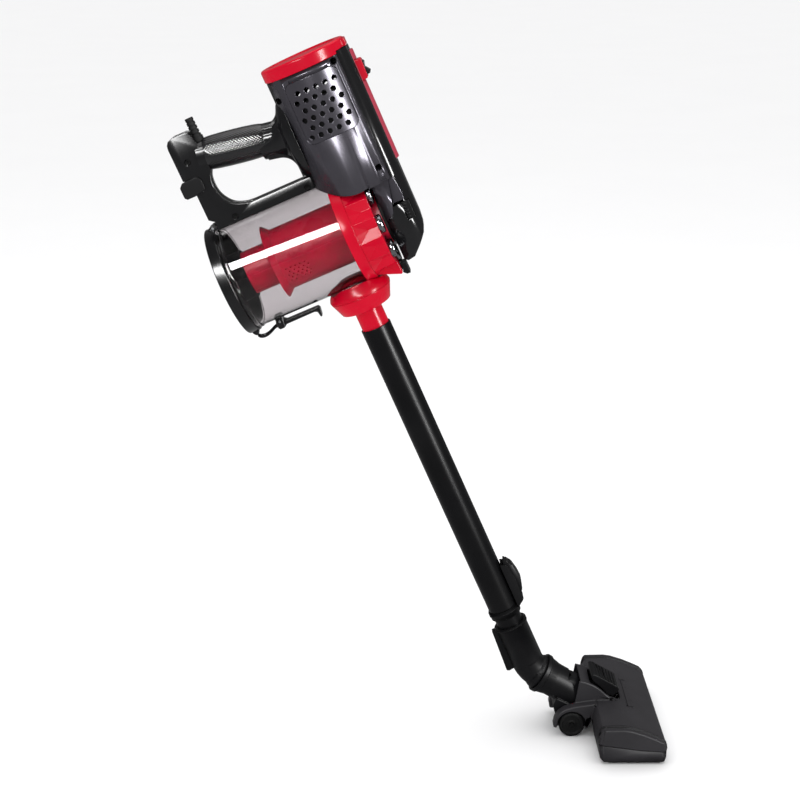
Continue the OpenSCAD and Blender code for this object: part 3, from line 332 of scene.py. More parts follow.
def plastic(name, colour, smooth, rough, grain, depth, wear, dust=0.0, metallic=0.0,
            specular=0.5, worn=None, scale=20.0):
    """A finished opaque material: drifting tone, moulded grain, worn edges and a little dust.

    smooth and rough are the ends of its roughness, grain is the grain's scale and height, and
    depth is how far its two tones stand apart."""
    made, tree, shader = new_finish(name)
    shader.inputs["Metallic"].default_value = metallic
    shader.inputs["Specular IOR Level"].default_value = specular
    light = tuple(min(1.0, c * (1 + depth) + 0.001) for c in colour) + (1,)
    deep = tuple(c * (1 - depth) for c in colour) + (1,)
    worn = tuple(worn or [min(1.0, c * 1.4 + 0.014) for c in colour]) + (1,)
    tone = effect(tree, "Tone Drift", {"Light": light, "Deep": deep, "Scale": scale})
    marks = effect(tree, "Edge Wear", {"Amount": wear, "Scale": 160.0})
    skin = effect(tree, "Moulded Grain", {"Scale": grain[0], "Smooth": smooth, "Rough": rough})
    worn_mix = chain(tree, "ShaderNodeMix", {"Factor": marks.outputs["Mask"],
                     "A": tone.outputs["Colour"], "B": worn}, data_type="RGBA")
    colour_out = worn_mix.outputs["Result"]
    if dust:
        film = effect(tree, "Settled Dust", {"Amount": dust})
        dusty = chain(tree, "ShaderNodeMix", {"Factor": film.outputs["Mask"], "A": colour_out,
                      "B": (0.12, 0.117, 0.112, 1)}, data_type="RGBA")
        colour_out = dusty.outputs["Result"]
    tree.links.new(colour_out, shader.inputs["Base Color"])
    tree.links.new(skin.outputs["Roughness"], shader.inputs["Roughness"])
    turned = effect(tree, "Soft Edge", {"Radius": SHADED_EDGE})
    bump = chain(tree, "ShaderNodeBump", {"Height": skin.outputs["Height"], "Strength": 0.5,
                 "Distance": grain[1], "Normal": turned.outputs["Normal"]})
    tree.links.new(bump.outputs["Normal"], shader.inputs["Normal"])
    return made


def clear_plastic(name, colour, roughness):
    """Smoke-tinted clear moulding with a faint haze."""
    made, tree, shader = new_finish(name)
    shader.inputs["Transmission Weight"].default_value = 1.0
    shader.inputs["IOR"].default_value = 1.46
    tone = effect(tree, "Tone Drift", {"Light": tuple(min(1, c * 1.02) for c in colour) + (1,),
                  "Deep": tuple(c * 0.97 for c in colour) + (1,), "Scale": 9.0})
    skin = effect(tree, "Moulded Grain", {"Scale": 500.0, "Smooth": roughness * 0.6,
                  "Rough": roughness * 1.6})
    tree.links.new(tone.outputs["Colour"], shader.inputs["Base Color"])
    tree.links.new(skin.outputs["Roughness"], shader.inputs["Roughness"])
    return made


def finish(slot):
    """The material for a slot of the record."""
    c = settings("vacuum_colours")
    found = bpy.data.materials.get(slot + "_finish")
    if found:
        return found
    if slot == "clear_smoke":
        return clear_plastic(slot, c.smoke, 0.008)
    table = {
        "gunmetal_gloss": dict(colour=c.gunmetal, smooth=0.20, rough=0.28, grain=(700, 0.000012),
                               depth=0.10, wear=0.2, metallic=0.6, specular=0.5),
        "red_gloss": dict(colour=c.red, smooth=0.16, rough=0.24, grain=(800, 0.000012),
                          depth=0.06, wear=0.06, specular=0.2, worn=(0.70, 0.005, 0.03)),
        # the strip's red carries a painted sheen of glancing white light on top of its own duller
        # red
        "red_strip": dict(colour=c.strip, smooth=0.35, rough=0.5, grain=(900, 0.00002),
                          depth=0.08, wear=0.1, specular=0.3),
        "red_deep": dict(colour=c.deep_red, smooth=0.25, rough=0.38, grain=(700, 0.00002),
                         depth=0.1, wear=0.1, specular=0.3),
        "black_gloss": dict(colour=c.black, smooth=0.14, rough=0.22, grain=(700, 0.00001),
                            depth=0.15, wear=0.2, specular=0.55),
        "black_matt": dict(colour=c.black, smooth=0.34, rough=0.46, grain=(1100, 0.00003),
                           depth=0.2, wear=0.25, specular=0.16),
        "black_tube": dict(colour=c.tube, smooth=0.24, rough=0.34, grain=(900, 0.00002),
                           depth=0.15, wear=0.15, specular=0.14),
        "dark_plastic": dict(colour=c.head, smooth=0.42, rough=0.55, grain=(1300, 0.00004),
                             depth=0.12, wear=0.2, dust=0.02, specular=0.22),
        "rubber": dict(colour=(0.008, 0.008, 0.008), smooth=0.5, rough=0.68,
                       grain=(1500, 0.00004), depth=0.2, wear=0.1, specular=0.15),
        "grip_weave": dict(colour=(0.006, 0.006, 0.007), smooth=0.10, rough=0.16,
                           grain=(1200, 0.00001), depth=0.2, wear=0.5, specular=1.0),
        "chrome": dict(colour=(0.30, 0.30, 0.32), smooth=0.08, rough=0.14, grain=(600, 0.000005),
                       depth=0.05, wear=0.0, metallic=1.0),
        # dead near-black for the screws and the head axle: partly their own dark colour, partly
        # painted shade of the holes they sit in
        "hole_shade_black": dict(colour=(0.004, 0.004, 0.004), smooth=0.4, rough=0.5,
                           grain=(900, 0.00001), depth=0.1, wear=0.3, specular=0.1),
        "steel": dict(colour=(0.42, 0.43, 0.45), smooth=0.22, rough=0.38, grain=(900, 0.00001),
                      depth=0.1, wear=0.1, metallic=1.0),
        "brass": dict(colour=(0.60, 0.42, 0.17), smooth=0.25, rough=0.4, grain=(900, 0.00001),
                      depth=0.1, wear=0.1, metallic=1.0),
        "copper": dict(colour=(0.62, 0.28, 0.14), smooth=0.3, rough=0.42, grain=(1600, 0.00006),
                       depth=0.15, wear=0.1, metallic=1.0),
        "foam": dict(colour=(0.012, 0.012, 0.013), smooth=0.85, rough=0.98, grain=(1800, 0.0004),
                     depth=0.4, wear=0.0, specular=0.1),
        "filter_paper": dict(colour=(0.74, 0.73, 0.68), smooth=0.8, rough=0.95,
                             grain=(1400, 0.0001), depth=0.06, wear=0.0, specular=0.15),
        "bristle": dict(colour=(0.02, 0.02, 0.022), smooth=0.6, rough=0.8, grain=(3000, 0.0006),
                        depth=0.4, wear=0.0, specular=0.2),
    }
    return plastic(slot, **table[slot])


# ---------------------------------------------------------------- mesh tools
def piece(name, mesh, slot, body, replaced=(), smooth=35.0):
    """Turns a bmesh into a finished piece that rides on a body."""
    bmesh.ops.recalc_face_normals(mesh, faces=mesh.faces)
    data = bpy.data.meshes.new(name)
    for face in mesh.faces:
        face.smooth = True
    mesh.to_mesh(data)
    mesh.free()
    data.set_sharp_from_angle(angle=math.radians(smooth))
    made = bpy.data.objects.new(name, data)
    bpy.context.scene.collection.objects.link(made)
    made.data.materials.append(finish(slot))
    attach(made, body)
    if replaced:
        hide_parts(*replaced)
    return made


def merge_flats(thing):
    """Welds a part's shared points and takes out the edges inside its flat faces."""
    weld = thing.modifiers.new("weld", "WELD")
    weld.merge_threshold = WELD_GAP
    flat = thing.modifiers.new("flat", "DECIMATE")
    flat.decimate_type = "DISSOLVE"
    flat.angle_limit = math.radians(FLAT_ANGLE)


def bevel(thing, width, angle, segments):
    """Rounds the edges that turn by more than an angle."""
    edge = thing.modifiers.new("edge", "BEVEL")
    edge.width = width
    edge.segments = segments
    edge.limit_method = "ANGLE"
    edge.angle_limit = math.radians(angle)
    edge.use_clamp_overlap = False
    edge.miter_outer = "MITER_ARC"


def soften(thing, width, angle=SHARP_ANGLE, segments=EDGE_SEGMENTS):
    """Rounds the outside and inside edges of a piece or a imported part."""
    if "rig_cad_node" in thing:
        merge_flats(thing)
    bevel(thing, width, angle, segments)
    shade = thing.modifiers.new("shade", "WEIGHTED_NORMAL")
    shade.keep_sharp = False
    shade.weight = SHADE_WEIGHT


def dress(names, width=0.0, angle=SHARP_ANGLE, slot=None, segments=EDGE_SEGMENTS):
    """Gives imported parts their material, and rounded edges where a width is asked for."""
    for name in names:
        part = NODES[name]
        old = part.data.materials[0].name.split(".")[0] if part.data.materials else "steel"
        wanted = slot or old
        part.data.materials.clear()
        part.data.materials.append(finish(wanted))
        if width:
            soften(part, width, angle, segments)


def rounded(node, width, zone=None):
    """A smooth-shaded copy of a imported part, with rounded edges where a width is asked for.

    Points that the rounding throws off the part are put back on it. Faces whose centre, in the
    hand unit's axes, passes the zone test take the black gloss finish."""
    source = NODES[node]
    raw = bmesh.new()
    raw.from_mesh(source.data)
    surface = BVHTree.FromBMesh(raw)
    raw.free()
    work = bpy.data.objects.new("work", source.data.copy())
    bpy.context.scene.collection.objects.link(work)
    merge_flats(work)
    if width:
        bevel(work, width, SHARP_ANGLE, EDGE_SEGMENTS)
    shaped = work.evaluated_get(bpy.context.evaluated_depsgraph_get())
    data = bpy.data.meshes.new_from_object(shaped)
    bpy.data.objects.remove(work)
    for vertex in data.vertices:
        spot, _, _, gap = surface.find_nearest(vertex.co)
        if gap > max(width, 1e-6) * 0.6:
            vertex.co = spot
    slot = source.data.materials[0].name.split(".")[0]
    data.materials.clear()
    data.materials.append(finish(slot))
    if zone:
        data.materials.append(finish("black_gloss"))
    back = HAND.inverted()
    for face in data.polygons:
        face.use_smooth = True
        face.material_index = int(bool(zone) and zone(back @ (source.matrix_world @ face.center)))
    if not width:
        data.set_sharp_from_angle(angle=math.radians(SHARP_ANGLE))
    made = bpy.data.objects.new(node + "_moulding", data)
    bpy.context.scene.collection.objects.link(made)
    shade = made.modifiers.new("shade", "WEIGHTED_NORMAL")
    shade.weight = SHADE_WEIGHT
    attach(made, source["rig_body"])
    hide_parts(node)
    return made


def skin_loops(mesh, loops, close_ends=True, wrap=False):
    """Joins rings of the same count with quads; returns the rings' vertices."""
    rings = [[mesh.verts.new(point) for point in loop] for loop in loops]
    count = len(rings[0])
    pairs = list(zip(rings, rings[1:]))
    if wrap:
        pairs.append((rings[-1], rings[0]))
    for low, high in pairs:
        for i in range(count):
            j = (i + 1) % count
            mesh.faces.new((low[i], low[j], high[j], high[i]))
    if close_ends and not wrap:
        mesh.faces.new(rings[0][::-1])
        mesh.faces.new(rings[-1])
    return rings


def circle(where, radius, height, count):
    """A ring of points around the local z axis of a frame."""
    return [where @ Vector((radius * math.cos(math.tau * i / count),
                            radius * math.sin(math.tau * i / count), height))
            for i in range(count)]


def lathe(profile, where, count, mesh=None, wrap=True):
    """Turns a (radius, height) outline about the local z axis of a frame."""
    mesh = mesh or bmesh.new()
    loops = [circle(where, radius, height, count) for radius, height in profile]
    skin_loops(mesh, loops, close_ends=not wrap, wrap=wrap)
    return mesh


def fillet(points, radius):
    """Rounds the corners of a closed outline of (x, z) or (x, z, radius) points."""
    out = []
    count = len(points)
    for i, point in enumerate(points):
        here = Vector(point[:2])
        size = point[2] if len(point) > 2 else radius
        back = (Vector(points[i - 1][:2]) - here)
        ahead = (Vector(points[(i + 1) % count][:2]) - here)
        reach = min(size, back.length * 0.45, ahead.length * 0.45)
        if reach < 1e-4:
            out.append(here)
            continue
        start = here + back.normalized() * reach
        stop = here + ahead.normalized() * reach
        for k in range(CORNER_STEPS + 1):
            t = k / CORNER_STEPS
            out.append(start * (1 - t) ** 2 + here * 2 * t * (1 - t) + stop * t * t)
    return out


def inset(outline, amount):
    """Moves a closed outline inward by an amount, along its corner bisectors."""
    area = sum(a.x * b.y - b.x * a.y for a, b in zip(outline, outline[1:] + outline[:1]))
    turn = 1 if area > 0 else -1
    out = []
    for i, here in enumerate(outline):
        before = (here - outline[i - 1])
        after = (outline[(i + 1) % len(outline)] - here)
        if before.length < 1e-9:
            before = after
        if after.length < 1e-9:
            after = before
        n0 = Vector((-before.y, before.x)).normalized() * turn
        n1 = Vector((-after.y, after.x)).normalized() * turn
        mean = n0 + n1
        if mean.length < 1e-6:
            mean = n0
        mean.normalize()
        out.append(here + mean * amount / max(0.5, mean.dot(n0)))
    return out


def prism(outline, y0, y1, edge, where, mesh=None):
    """An outline in the (x, z) plane thickened along y with rounded rims."""
    mesh = mesh or bmesh.new()
    turns = [math.pi / 2 * k / RIM_STEPS for k in range(RIM_STEPS + 1)]
    rims = [(t, y0 + edge * (1 - math.cos(t))) for t in turns]
    rims += [(t, y1 - edge * (1 - math.cos(t))) for t in reversed(turns)]
    loops = []
    for t, y in rims:
        ring = inset(outline, edge * (1 - math.sin(t)))
        loops.append([where @ Vector((p.x, y, p.y)) for p in ring])
    skin_loops(mesh, loops)
    return mesh


def smooth_path(points, steps):
    """A Catmull-Rom curve through points."""
    pts = [Vector(p) for p in points]
    pts = [pts[0] * 2 - pts[1]] + pts + [pts[-1] * 2 - pts[-2]]
    out = []
    for p0, p1, p2, p3 in zip(pts, pts[1:], pts[2:], pts[3:]):
        for k in range(steps):
            t = k / steps
            out.append(0.5 * (2 * p1 + (p2 - p0) * t + (2 * p0 - 5 * p1 + 4 * p2 - p3) * t * t
                              + (3 * p1 - p0 - 3 * p2 + p3) * t ** 3))
    out.append(pts[-2])
    return out


def wire(path, radius, where, mesh):
    """A round wire along a path of points."""
    loops = []
    up = None
    for i, point in enumerate(path):
        ahead = (path[min(i + 1, len(path) - 1)] - path[max(i - 1, 0)]).normalized()
        if up is None:
            up = ahead.orthogonal().normalized()
        up = (up - ahead * up.dot(ahead)).normalized()
        side = ahead.cross(up)
        turns = [math.tau * k / WIRE_SIDES for k in range(WIRE_SIDES)]
        loops.append([where @ (point + (up * math.cos(t) + side * math.sin(t)) * radius)
                      for t in turns])
    skin_loops(mesh, loops)


# ---------------------------------------------------------------- hand unit
def oval(centre, half_y, half_z, power, count, x):
    """A superellipse ring across the x axis."""
    ring = []
    for i in range(count):
        t = math.tau * i / count
        c, s = math.cos(t), math.sin(t)
        ring.append(Vector((x, half_y * math.copysign(abs(c) ** (2 / power), c),
                            centre + half_z * math.copysign(abs(s) ** (2 / power), s))))
    return ring


def build_flare():
    """The trumpet where the grip runs into the motor barrel."""
    # each ring's place along x, its top and foot, its half width, and how square it is
    stations = [
        (-34.0, 249.6, 217.9, 16.4, 2.0), (-30.0, 249.9, 217.1, 16.6, 2.0),
        (-24.0, 250.7, 215.9, 16.9, 2.0), (-18.0, 251.4, 214.2, 17.6, 2.0),
        (-13.0, 252.7, 211.9, 18.9, 2.05), (-9.0, 254.5, 208.9, 20.6, 2.1),
        (-6.0, 256.8, 204.9, 22.6, 2.1), (-4.2, 259.0, 200.0, 24.6, 2.15),
        (-3.4, 260.6, 192.5, 26.0, 2.2), (-2.4, 262.6, 186.5, 27.2, 2.2),
        (-0.5, 267.0, 181.6, 28.6, 2.2), (2.5, 271.6, 178.4, 30.0, 2.2),
        (8.0, 276.0, 176.0, 31.0, 2.2)]
    mesh = bmesh.new()
    loops = []
    for x, top, foot, half, power in stations:
        ring = oval((top + foot) / 2, half, (top - foot) / 2, power, 72, x)
        loops.append([HAND @ point for point in ring])
    skin_loops(mesh, loops)
    return piece("grip_flare", mesh, "black_gloss", "hand_unit", smooth=60)


def build_grip():
    """The grip sleeve, a tube of woven scales."""
    s = settings("vacuum_hand")
    rows, around = s.scales_long * 8, s.scales_round * 6
    start, stop, bore = 8.6, 75.4, 16.9
    high = s.scale_height / MM
    fade_rows = 10
    body = [(8.0, 17.3), (14.0, 18.0), (19.0, 18.4), (31.0, 18.8), (43.0, 18.9), (55.0, 18.75),
            (65.0, 18.3), (75.4, 17.3)]

    def radius_at(z):
        for (z0, r0), (z1, r1) in zip(body, body[1:]):
            if z <= z1:
                return r0 + (r1 - r0) * (z - z0) / (z1 - z0)
        return body[-1][1]

    mesh = bmesh.new()
    loops = []
    loops.append(circle(GRIP, bore, start, around))
    loops.append(circle(GRIP, radius_at(start) - 0.3, start, around))
    for row in range(rows + 1):
        z = start + (stop - start) * row / rows
        v = row / rows * s.scales_long
        fade = min(1.0, min(row, rows - row) / fade_rows)
        ring = []
        for i in range(around):
            u = i / around * s.scales_round
            weave = abs(math.sin(math.pi * (u + v))) * abs(math.sin(math.pi * (u - v)))
            r = radius_at(z) - 0.25 + high * 1.6 * (weave ** 0.45 - 0.25) * fade
            angle = math.tau * i / around
            ring.append(GRIP @ Vector((r * math.cos(angle), r * math.sin(angle), z)))
        loops.append(ring)
    loops.append(circle(GRIP, radius_at(stop) - 0.3, stop, around))
    loops.append(circle(GRIP, bore, stop, around))
    skin_loops(mesh, loops, wrap=True)
    return piece("grip_scales", mesh, "grip_weave", "hand_unit", ["grip_sleeve"], smooth=60)


# ---------------------------------------------------------------- dust cup
def build_cup():
    """The clear cup: a turned shell with rounded rims and a hole for the inlet."""
    s = settings("vacuum_cup")
    r = s.cup_radius / MM
    w = s.cup_wall / MM
    profile = [(r - w, -117.0), (r + 0.9, -117.2), (r + 1.2, -116.8), (r + 1.2, -113.4),
               (r + 0.9, -112.8), (r, -112.2), (r, -60)]
    steps = [z * 1.5 for z in range(-14, 11)]
    profile += [(r, z) for z in steps] + [(r, 19.4), (r - 0.5, 20), (r - w + 0.5, 20),
                                          (r - w, 19.4)]
    profile += [(r - w, z) for z in reversed(steps)] + [(r - w, -60), (r - w, -112)]
    mesh = lathe(profile, CUP, TURNED_SIDES)
    # the dirty air comes in through a hole low on the cup
    back = HAND.inverted()
    hole_radius, hole_back, hole_below = 16.2, 2, CUP_AXIS - 40
    hole = []
    for face in mesh.faces:
        at = back @ face.calc_center_median()
        if at.z < hole_below and math.hypot(at.x + hole_back, at.y) < hole_radius:
            hole.append(face)
    bmesh.ops.delete(mesh, geom=hole, context="FACES")
    rims = [edge for edge in mesh.edges if edge.is_boundary]
    bmesh.ops.bridge_loops(mesh, edges=rims)
    return piece("cup_shell", mesh, "clear_smoke", "cup_unit", ["dust_cup"], smooth=40)


def build_cup_fittings():
    """Hinge ears and latch rail moulded on the cup."""
    mesh = bmesh.new()
    ear = fillet([(-117.2, 168.5), (-121, 171.5), (-121.5, 174.4), (-119.8, 176.4), (-117, 176.2),
                  (-113.4, 173), (-112.8, 168.5)], 1.2)
    for y0, y1 in ((-12, -8), (8, 12)):
        prism(ear, y0, y1, 0.5, HAND, mesh)
    rail = fillet([(-100, 46.9), (-100, 53), (-91, 53), (-91, 46.9)], 0.8)
    prism(rail, -7, 7, 0.5, HAND, mesh)
    return piece("cup_fittings", mesh, "black_gloss", "cup_unit")


def build_ring():
    """The cyclone ring: a smooth band, then a gem-cut crown of pleats."""
    s = settings("vacuum_cup")
    band = [(59.6, 14.9), (60.0, 14.8), (60.3, 15.2), (60.3, 25.9), (59.9, 26.7), (58.9, 26.9),
            (56.0, 27.0), (54.0, 26.0), (54.0, 21.2), (59.5, 21.0)]
    mesh = lathe(band, CUP, TURNED_SIDES)
    count = s.pleats
    step = math.tau / count

    def at(radius, height, turn):
        return CUP @ Vector((radius * math.cos(turn), radius * math.sin(turn), height))

    crown = bmesh.new()
    base, notch, tip, top, inside = [], [], [], [], []
    for k in range(count):
        a = (k + 0.5) * step
        base.append(crown.verts.new(at(58.6, 26.4, a)))
        base.append(crown.verts.new(at(58.6, 26.4, a + step / 2)))
        notch.append(crown.verts.new(at(52.8, 41.0, a + step / 2)))
        tip.append(crown.verts.new(at(57.4, 50.6, a)))
        top.append(crown.verts.new(at(56.2, 52.3, a)))
        top.append(crown.verts.new(at(53.2, 52.3, a + step / 2)))
        inside.append(crown.verts.new(at(50.5, 52.3, a)))
        inside.append(crown.verts.new(at(50.5, 52.3, a + step / 2)))
    low = [crown.verts.new(at(52.0, 26.4, (k / 2 + 0.5) * step)) for k in range(2 * count)]
    for k in range(count):
        n = (k + 1) % count
        b0, bm, b1 = base[2 * k], base[2 * k + 1], base[2 * n]
        crown.faces.new((b0, bm, notch[k]))
        crown.faces.new((bm, b1, notch[k]))
        crown.faces.new((b0, notch[k], tip[k]))
        crown.faces.new((b1, tip[n], notch[k]))
        t0, tm, t1 = top[2 * k], top[2 * k + 1], top[2 * n]
        crown.faces.new((tip[k], notch[k], tm, t0))
        crown.faces.new((notch[k], tip[n], t1, tm))
    for i in range(2 * count):
        j = (i + 1) % (2 * count)
        crown.faces.new((top[i], top[j], inside[j], inside[i]))
        crown.faces.new((inside[i], inside[j], low[j], low[i]))
        crown.faces.new((low[i], low[j], base[j], base[i]))
    made = piece("cyclone_crown", crown, "red_gloss", "cup_unit", smooth=8)
    soften(made, 0.0004, 9.0, 2)
    foot = fillet([(26.9, 72), (26.9, 55.2), (52.2, 45.2), (54, 47), (52.4, 66)], 1.2)
    prism(foot, -17, 17, 1.0, HAND, mesh)
    return piece("cyclone_band", mesh, "red_gloss", "cup_unit", ["cyclone_ring"])


def build_cheeks():
    """Two webs that close the casing's cheeks behind the release buttons."""
    mesh = bmesh.new()
    web = fillet([(78, 152), (85.8, 152), (88.8, 129), (88, 122.5), (75, 122.5), (77, 133)], 1.0)
    for y0, y1 in ((-27, -25), (25, 27)):
        prism(web, y0, y1, 0.4, HAND, mesh)
    return piece("cheek_webs", mesh, "gunmetal_gloss", "hand_unit")


def build_inlet():
    """The red inlet: a spigot, a flared bowl with a seam, and a dome bedded under the cup."""
    bed_radius, dome_foot = 60.7, 44
    profile = [(13.4, -34), (15.3, -34), (15.5, -33.6), (15.9, 0.6), (15.9, 20.6), (16.4, 21),
               (18.0, 21), (18.4, 21.4), (18.4, 23.8), (19, 24.2), (28.0, 24.2), (29.2, 25.0),
               (32.4, 33), (35.5, 40.4), (35.8, 41.2), (35.3, 41.5), (35.3, 42.2), (36.2, 42.6),
               (36.2, 43.6), (34.8, 47.2), (32.6, 51.6), (29.8, 56), (26.6, 59.8), (22.5, 62.6),
               (18, 64), (15.8, 64), (15.8, 46), (15, 44), (13.4, 42), (13.4, 0)]
    mesh = lathe(profile, Matrix.Identity(4), TURNED_SIDES)
    for vertex in mesh.verts:
        side, high = vertex.co.y, vertex.co.z
        if high > dome_foot:
            bed = CUP_AXIS - math.sqrt(max(0.0, bed_radius ** 2 - side * side))
            vertex.co.z = min(high, bed)
        vertex.co = HAND @ vertex.co
    return piece("inlet_dome", mesh, "red_gloss", "cup_unit", ["inlet_duct"], smooth=42)


def build_caps():
    """Eight cone caps: a bright collar around a domed plug."""
    collars, plugs = bmesh.new(), bmesh.new()
    caps, circle_radius = 8, 44.6
    for k in range(caps):
        turn = math.tau * k / caps
        where = CUP @ Matrix.Rotation(turn, 4, "Z") @ Matrix.Translation((circle_radius, 0, 0))
        lathe([(7.6, 52.4), (10.0, 52.4), (10.4, 52.9), (10.4, 56.6), (9.9, 57.7), (9.0, 58.0),
               (7.8, 57.4), (7.6, 56.4)], where, 48, collars)
        lathe([(0.01, 53.0), (7.5, 53.0), (7.5, 56.2), (6.6, 57.6), (4.6, 58.0), (2.2, 58.1),
               (0.01, 58.1)], where, 32, plugs, wrap=False)
    piece("cap_plugs", plugs, "black_gloss", "cup_unit", smooth=50)
    return piece("cap_collars", collars, "chrome", "cup_unit", ["cyclone_caps"], smooth=50)


def build_latch():
    """The lid latch: a sprung bar with a wire loop that hooks the lid's keeper."""
    s = settings("vacuum_cup")
    mesh = bmesh.new()
    bar = fillet([(-100.6, 47.0), (-98.6, 40.4), (-92.8, 39.6), (-90.2, 41.8), (-56, 42.2),
                  (-52.8, 41), (-51.6, 34.4), (-49.6, 34.4), (-48.3, 43.5), (-50, 46.2),
                  (-88, 46.4), (-91.6, 49), (-98, 49.2)], 0.9)
    prism(bar, -5.6, 5.6, 0.8, HAND, mesh)
    knuckle = fillet([(-100, 41), (-92, 41), (-91.5, 49), (-94, 52), (-98, 52), (-100.5, 49)], 1.2)
    for y0, y1 in ((-9.2, -7.4), (7.4, 9.2)):
        prism(knuckle, y0, y1, 0.5, HAND, mesh)
    bridge = fillet([(-99, 39.8), (-93, 39.8), (-93, 43), (-99, 43)], 0.8)
    prism(bridge, -9.0, 9.0, 0.5, HAND, mesh)
    path = [(-99, 4.6, 44.2), (-104, 4.6, 43.4), (-109, 4.6, 41.2), (-114, 4.6, 39.4),
            (-119, 4.4, 38.9), (-123, 3.8, 40.0), (-124.8, 2.2, 41.6), (-125.0, 0, 42.0),
            (-124.8, -2.2, 41.6), (-123, -3.8, 40.0), (-119, -4.4, 38.9), (-114, -4.6, 39.4),
            (-109, -4.6, 41.2), (-104, -4.6, 43.4), (-99, -4.6, 44.2)]
    wire(smooth_path(path, 5), s.wire_radius / MM, HAND, mesh)
    return piece("latch_bar", mesh, "black_gloss", "latch", ["lid_latch"], smooth=45)


# ---------------------------------------------------------------- stage
def aim(thing, spot, roll=0.0):
    """Points a light at a spot and rolls it about its own axis."""
    ahead = Vector(spot) - thing.location
    thing.rotation_euler = ahead.to_track_quat("-Z", "Y").to_euler()
    if roll:
        thing.rotation_euler.rotate_axis("Z", math.radians(roll))


def soft_light(name, where, spot, size, power, roll=0.0):
    """A rectangular soft light aimed at a spot."""
    lamp = bpy.data.lights.new(name, "AREA")
    lamp.shape = "RECTANGLE"
    lamp.size, lamp.size_y = size
    lamp.energy = power
    made = bpy.data.objects.new(name, lamp)
    made.location = where
    bpy.context.scene.collection.objects.link(made)
    aim(made, spot, roll)
    return made


def build_stage():
    """Plain pale floor, soft studio light and the camera."""
    s = settings("vacuum_stage")
    scene = bpy.context.scene
    mesh = bmesh.new()
    h = s.floor_half
    mesh.faces.new([mesh.verts.new(p) for p in ((-h, -h, 0), (h, -h, 0), (h, h, 0), (-h, h, 0))])
    data = bpy.data.meshes.new("floor")
    mesh.to_mesh(data)
    mesh.free()
    floor = bpy.data.objects.new("floor", data)
    scene.collection.objects.link(floor)
    card = plastic("floor_card", colour=(0.93, 0.93, 0.935), smooth=0.75, rough=0.85,
                   grain=(300, 0.00001), depth=0.004, wear=0.0, specular=0.1,
                   worn=(0.95, 0.95, 0.95), scale=2.0)
    floor.data.materials.append(card)
    key = soft_light("key_light", where=(-0.90, -1.42, 1.26), spot=(-0.38, -0.05, 0.62),
                     size=(1.1, 0.26), power=s.key_power, roll=-23)
    side = soft_light("side_light", where=(0.95, -1.05, 0.98), spot=(-0.32, 0, 0.66),
                      size=(0.34, 1.2), power=s.side_power)
    for lamp in (key, side):
        lamp.visible_diffuse = False
    soft_light("top_light", where=(-0.1, 0.4, 2.6), spot=(-0.1, 0, 0.3), size=(2.6, 2.2),
               power=s.top_power)
    world = bpy.data.worlds.new("studio")
    world.use_nodes = True
    tree = world.node_tree
    back = tree.nodes["Background"]
    back.inputs["Color"].default_value = (1.0, 1.0, 1.0, 1)
    path = tree.nodes.new("ShaderNodeLightPath")
    level = chain(tree, "ShaderNodeMapRange", {"Value": path.outputs["Glossy Depth"],
                  "To Min": s.sky, "To Max": s.sky_gloss})
    tree.links.new(level.outputs["Result"], back.inputs["Strength"])
    scene.world = world
    scene.view_settings.view_transform = "Standard"
    camera = bpy.data.objects.new("camera", bpy.data.cameras.new("camera"))
    camera.data.lens = CAMERA_LENS
    camera.data.sensor_width = CAMERA_SENSOR
    camera.data.clip_end = CAMERA_FAR
    camera.location = CAMERA_PLACE
    camera.rotation_euler = (math.radians(90 - CAMERA_DIP), 0, math.radians(CAMERA_YAW))
    scene.collection.objects.link(camera)
    scene.camera = camera


# ---------------------------------------------------------------- operators
class BuildOperator:
    """Shared shape of the build operators."""
    bl_options = {"REGISTER", "UNDO"}

    def execute(self, context):
        self.build()
        return {"FINISHED"}


class VACUUM_OT_stage(BuildOperator, bpy.types.Operator):
    """Sets the floor, the lights and the camera"""
    bl_idname = "vacuum.stage"
    bl_label = "Stage"

    def build(self):
        build_stage()


class VACUUM_OT_casing(BuildOperator, bpy.types.Operator):
    """Finishes the motor casing, its flare, screws and vents"""
    bl_idname = "vacuum.casing"
    bl_label = "Motor casing"

    def build(self):
        s = settings("vacuum_hand")
        for side in ("casing_right", "casing_left"):
            rounded(side, 0, zone=lambda at: at.x < s.handle_reach / MM)
        dress(["exhaust_grille_right", "exhaust_grille_left"], 0.00035)
        # the screws take a dead near-black that also stands for painted shade inside their holes
        dress(["casing_screws"], slot="hole_shade_black")
        dress(["exhaust_foam", "strain_relief", "power_lead"])
        dress(["cord_clip"], 0.0007)
        dress(["top_cap"], 0.0010)
        build_flare()
        build_cheeks()


class VACUUM_OT_grip(BuildOperator, bpy.types.Operator):
    """Builds the grip's woven sleeve"""
    bl_idname = "vacuum.grip"
    bl_label = "Grip"

    def build(self):
        build_grip()


class VACUUM_OT_spine(BuildOperator, bpy.types.Operator):
    """Finishes the front spine, its strip, switch and release buttons"""
    bl_idname = "vacuum.spine"
    bl_label = "Spine and switch"

    def build(self):
        rounded("spine_cover", 0)
        dress(["spine_strip"], 0.0004)
        dress(["switch_bezel", "rocker_switch"], 0.0007)
        dress(["release_button_right", "release_button_left"], 0.0004)
        dress(["switch_block", "release_springs"])


class VACUUM_OT_motor(BuildOperator, bpy.types.Operator):
    """Finishes the motor and fan inside the barrel"""
    bl_idname = "vacuum.motor"
    bl_label = "Motor and fan"

    def build(self):
        dress(["motor_can", "fan_cover", "impeller"], 0.0003, 40, segments=2)
        dress(["motor_shaft", "armature", "motor_mounts", "motor_bearings", "carbon_brushes"])


class VACUUM_OT_cup(BuildOperator, bpy.types.Operator):
    """Builds the clear cup, and finishes what is inside it"""
    bl_idname = "vacuum.cup"
    bl_label = "Dust cup"

    def build(self):
        build_cup()
        build_cup_fittings()
        dress(["shroud", "dust_funnel", "cyclone_cones"])
        dress(["hepa_filter", "funnel_seal", "cup_seal"])


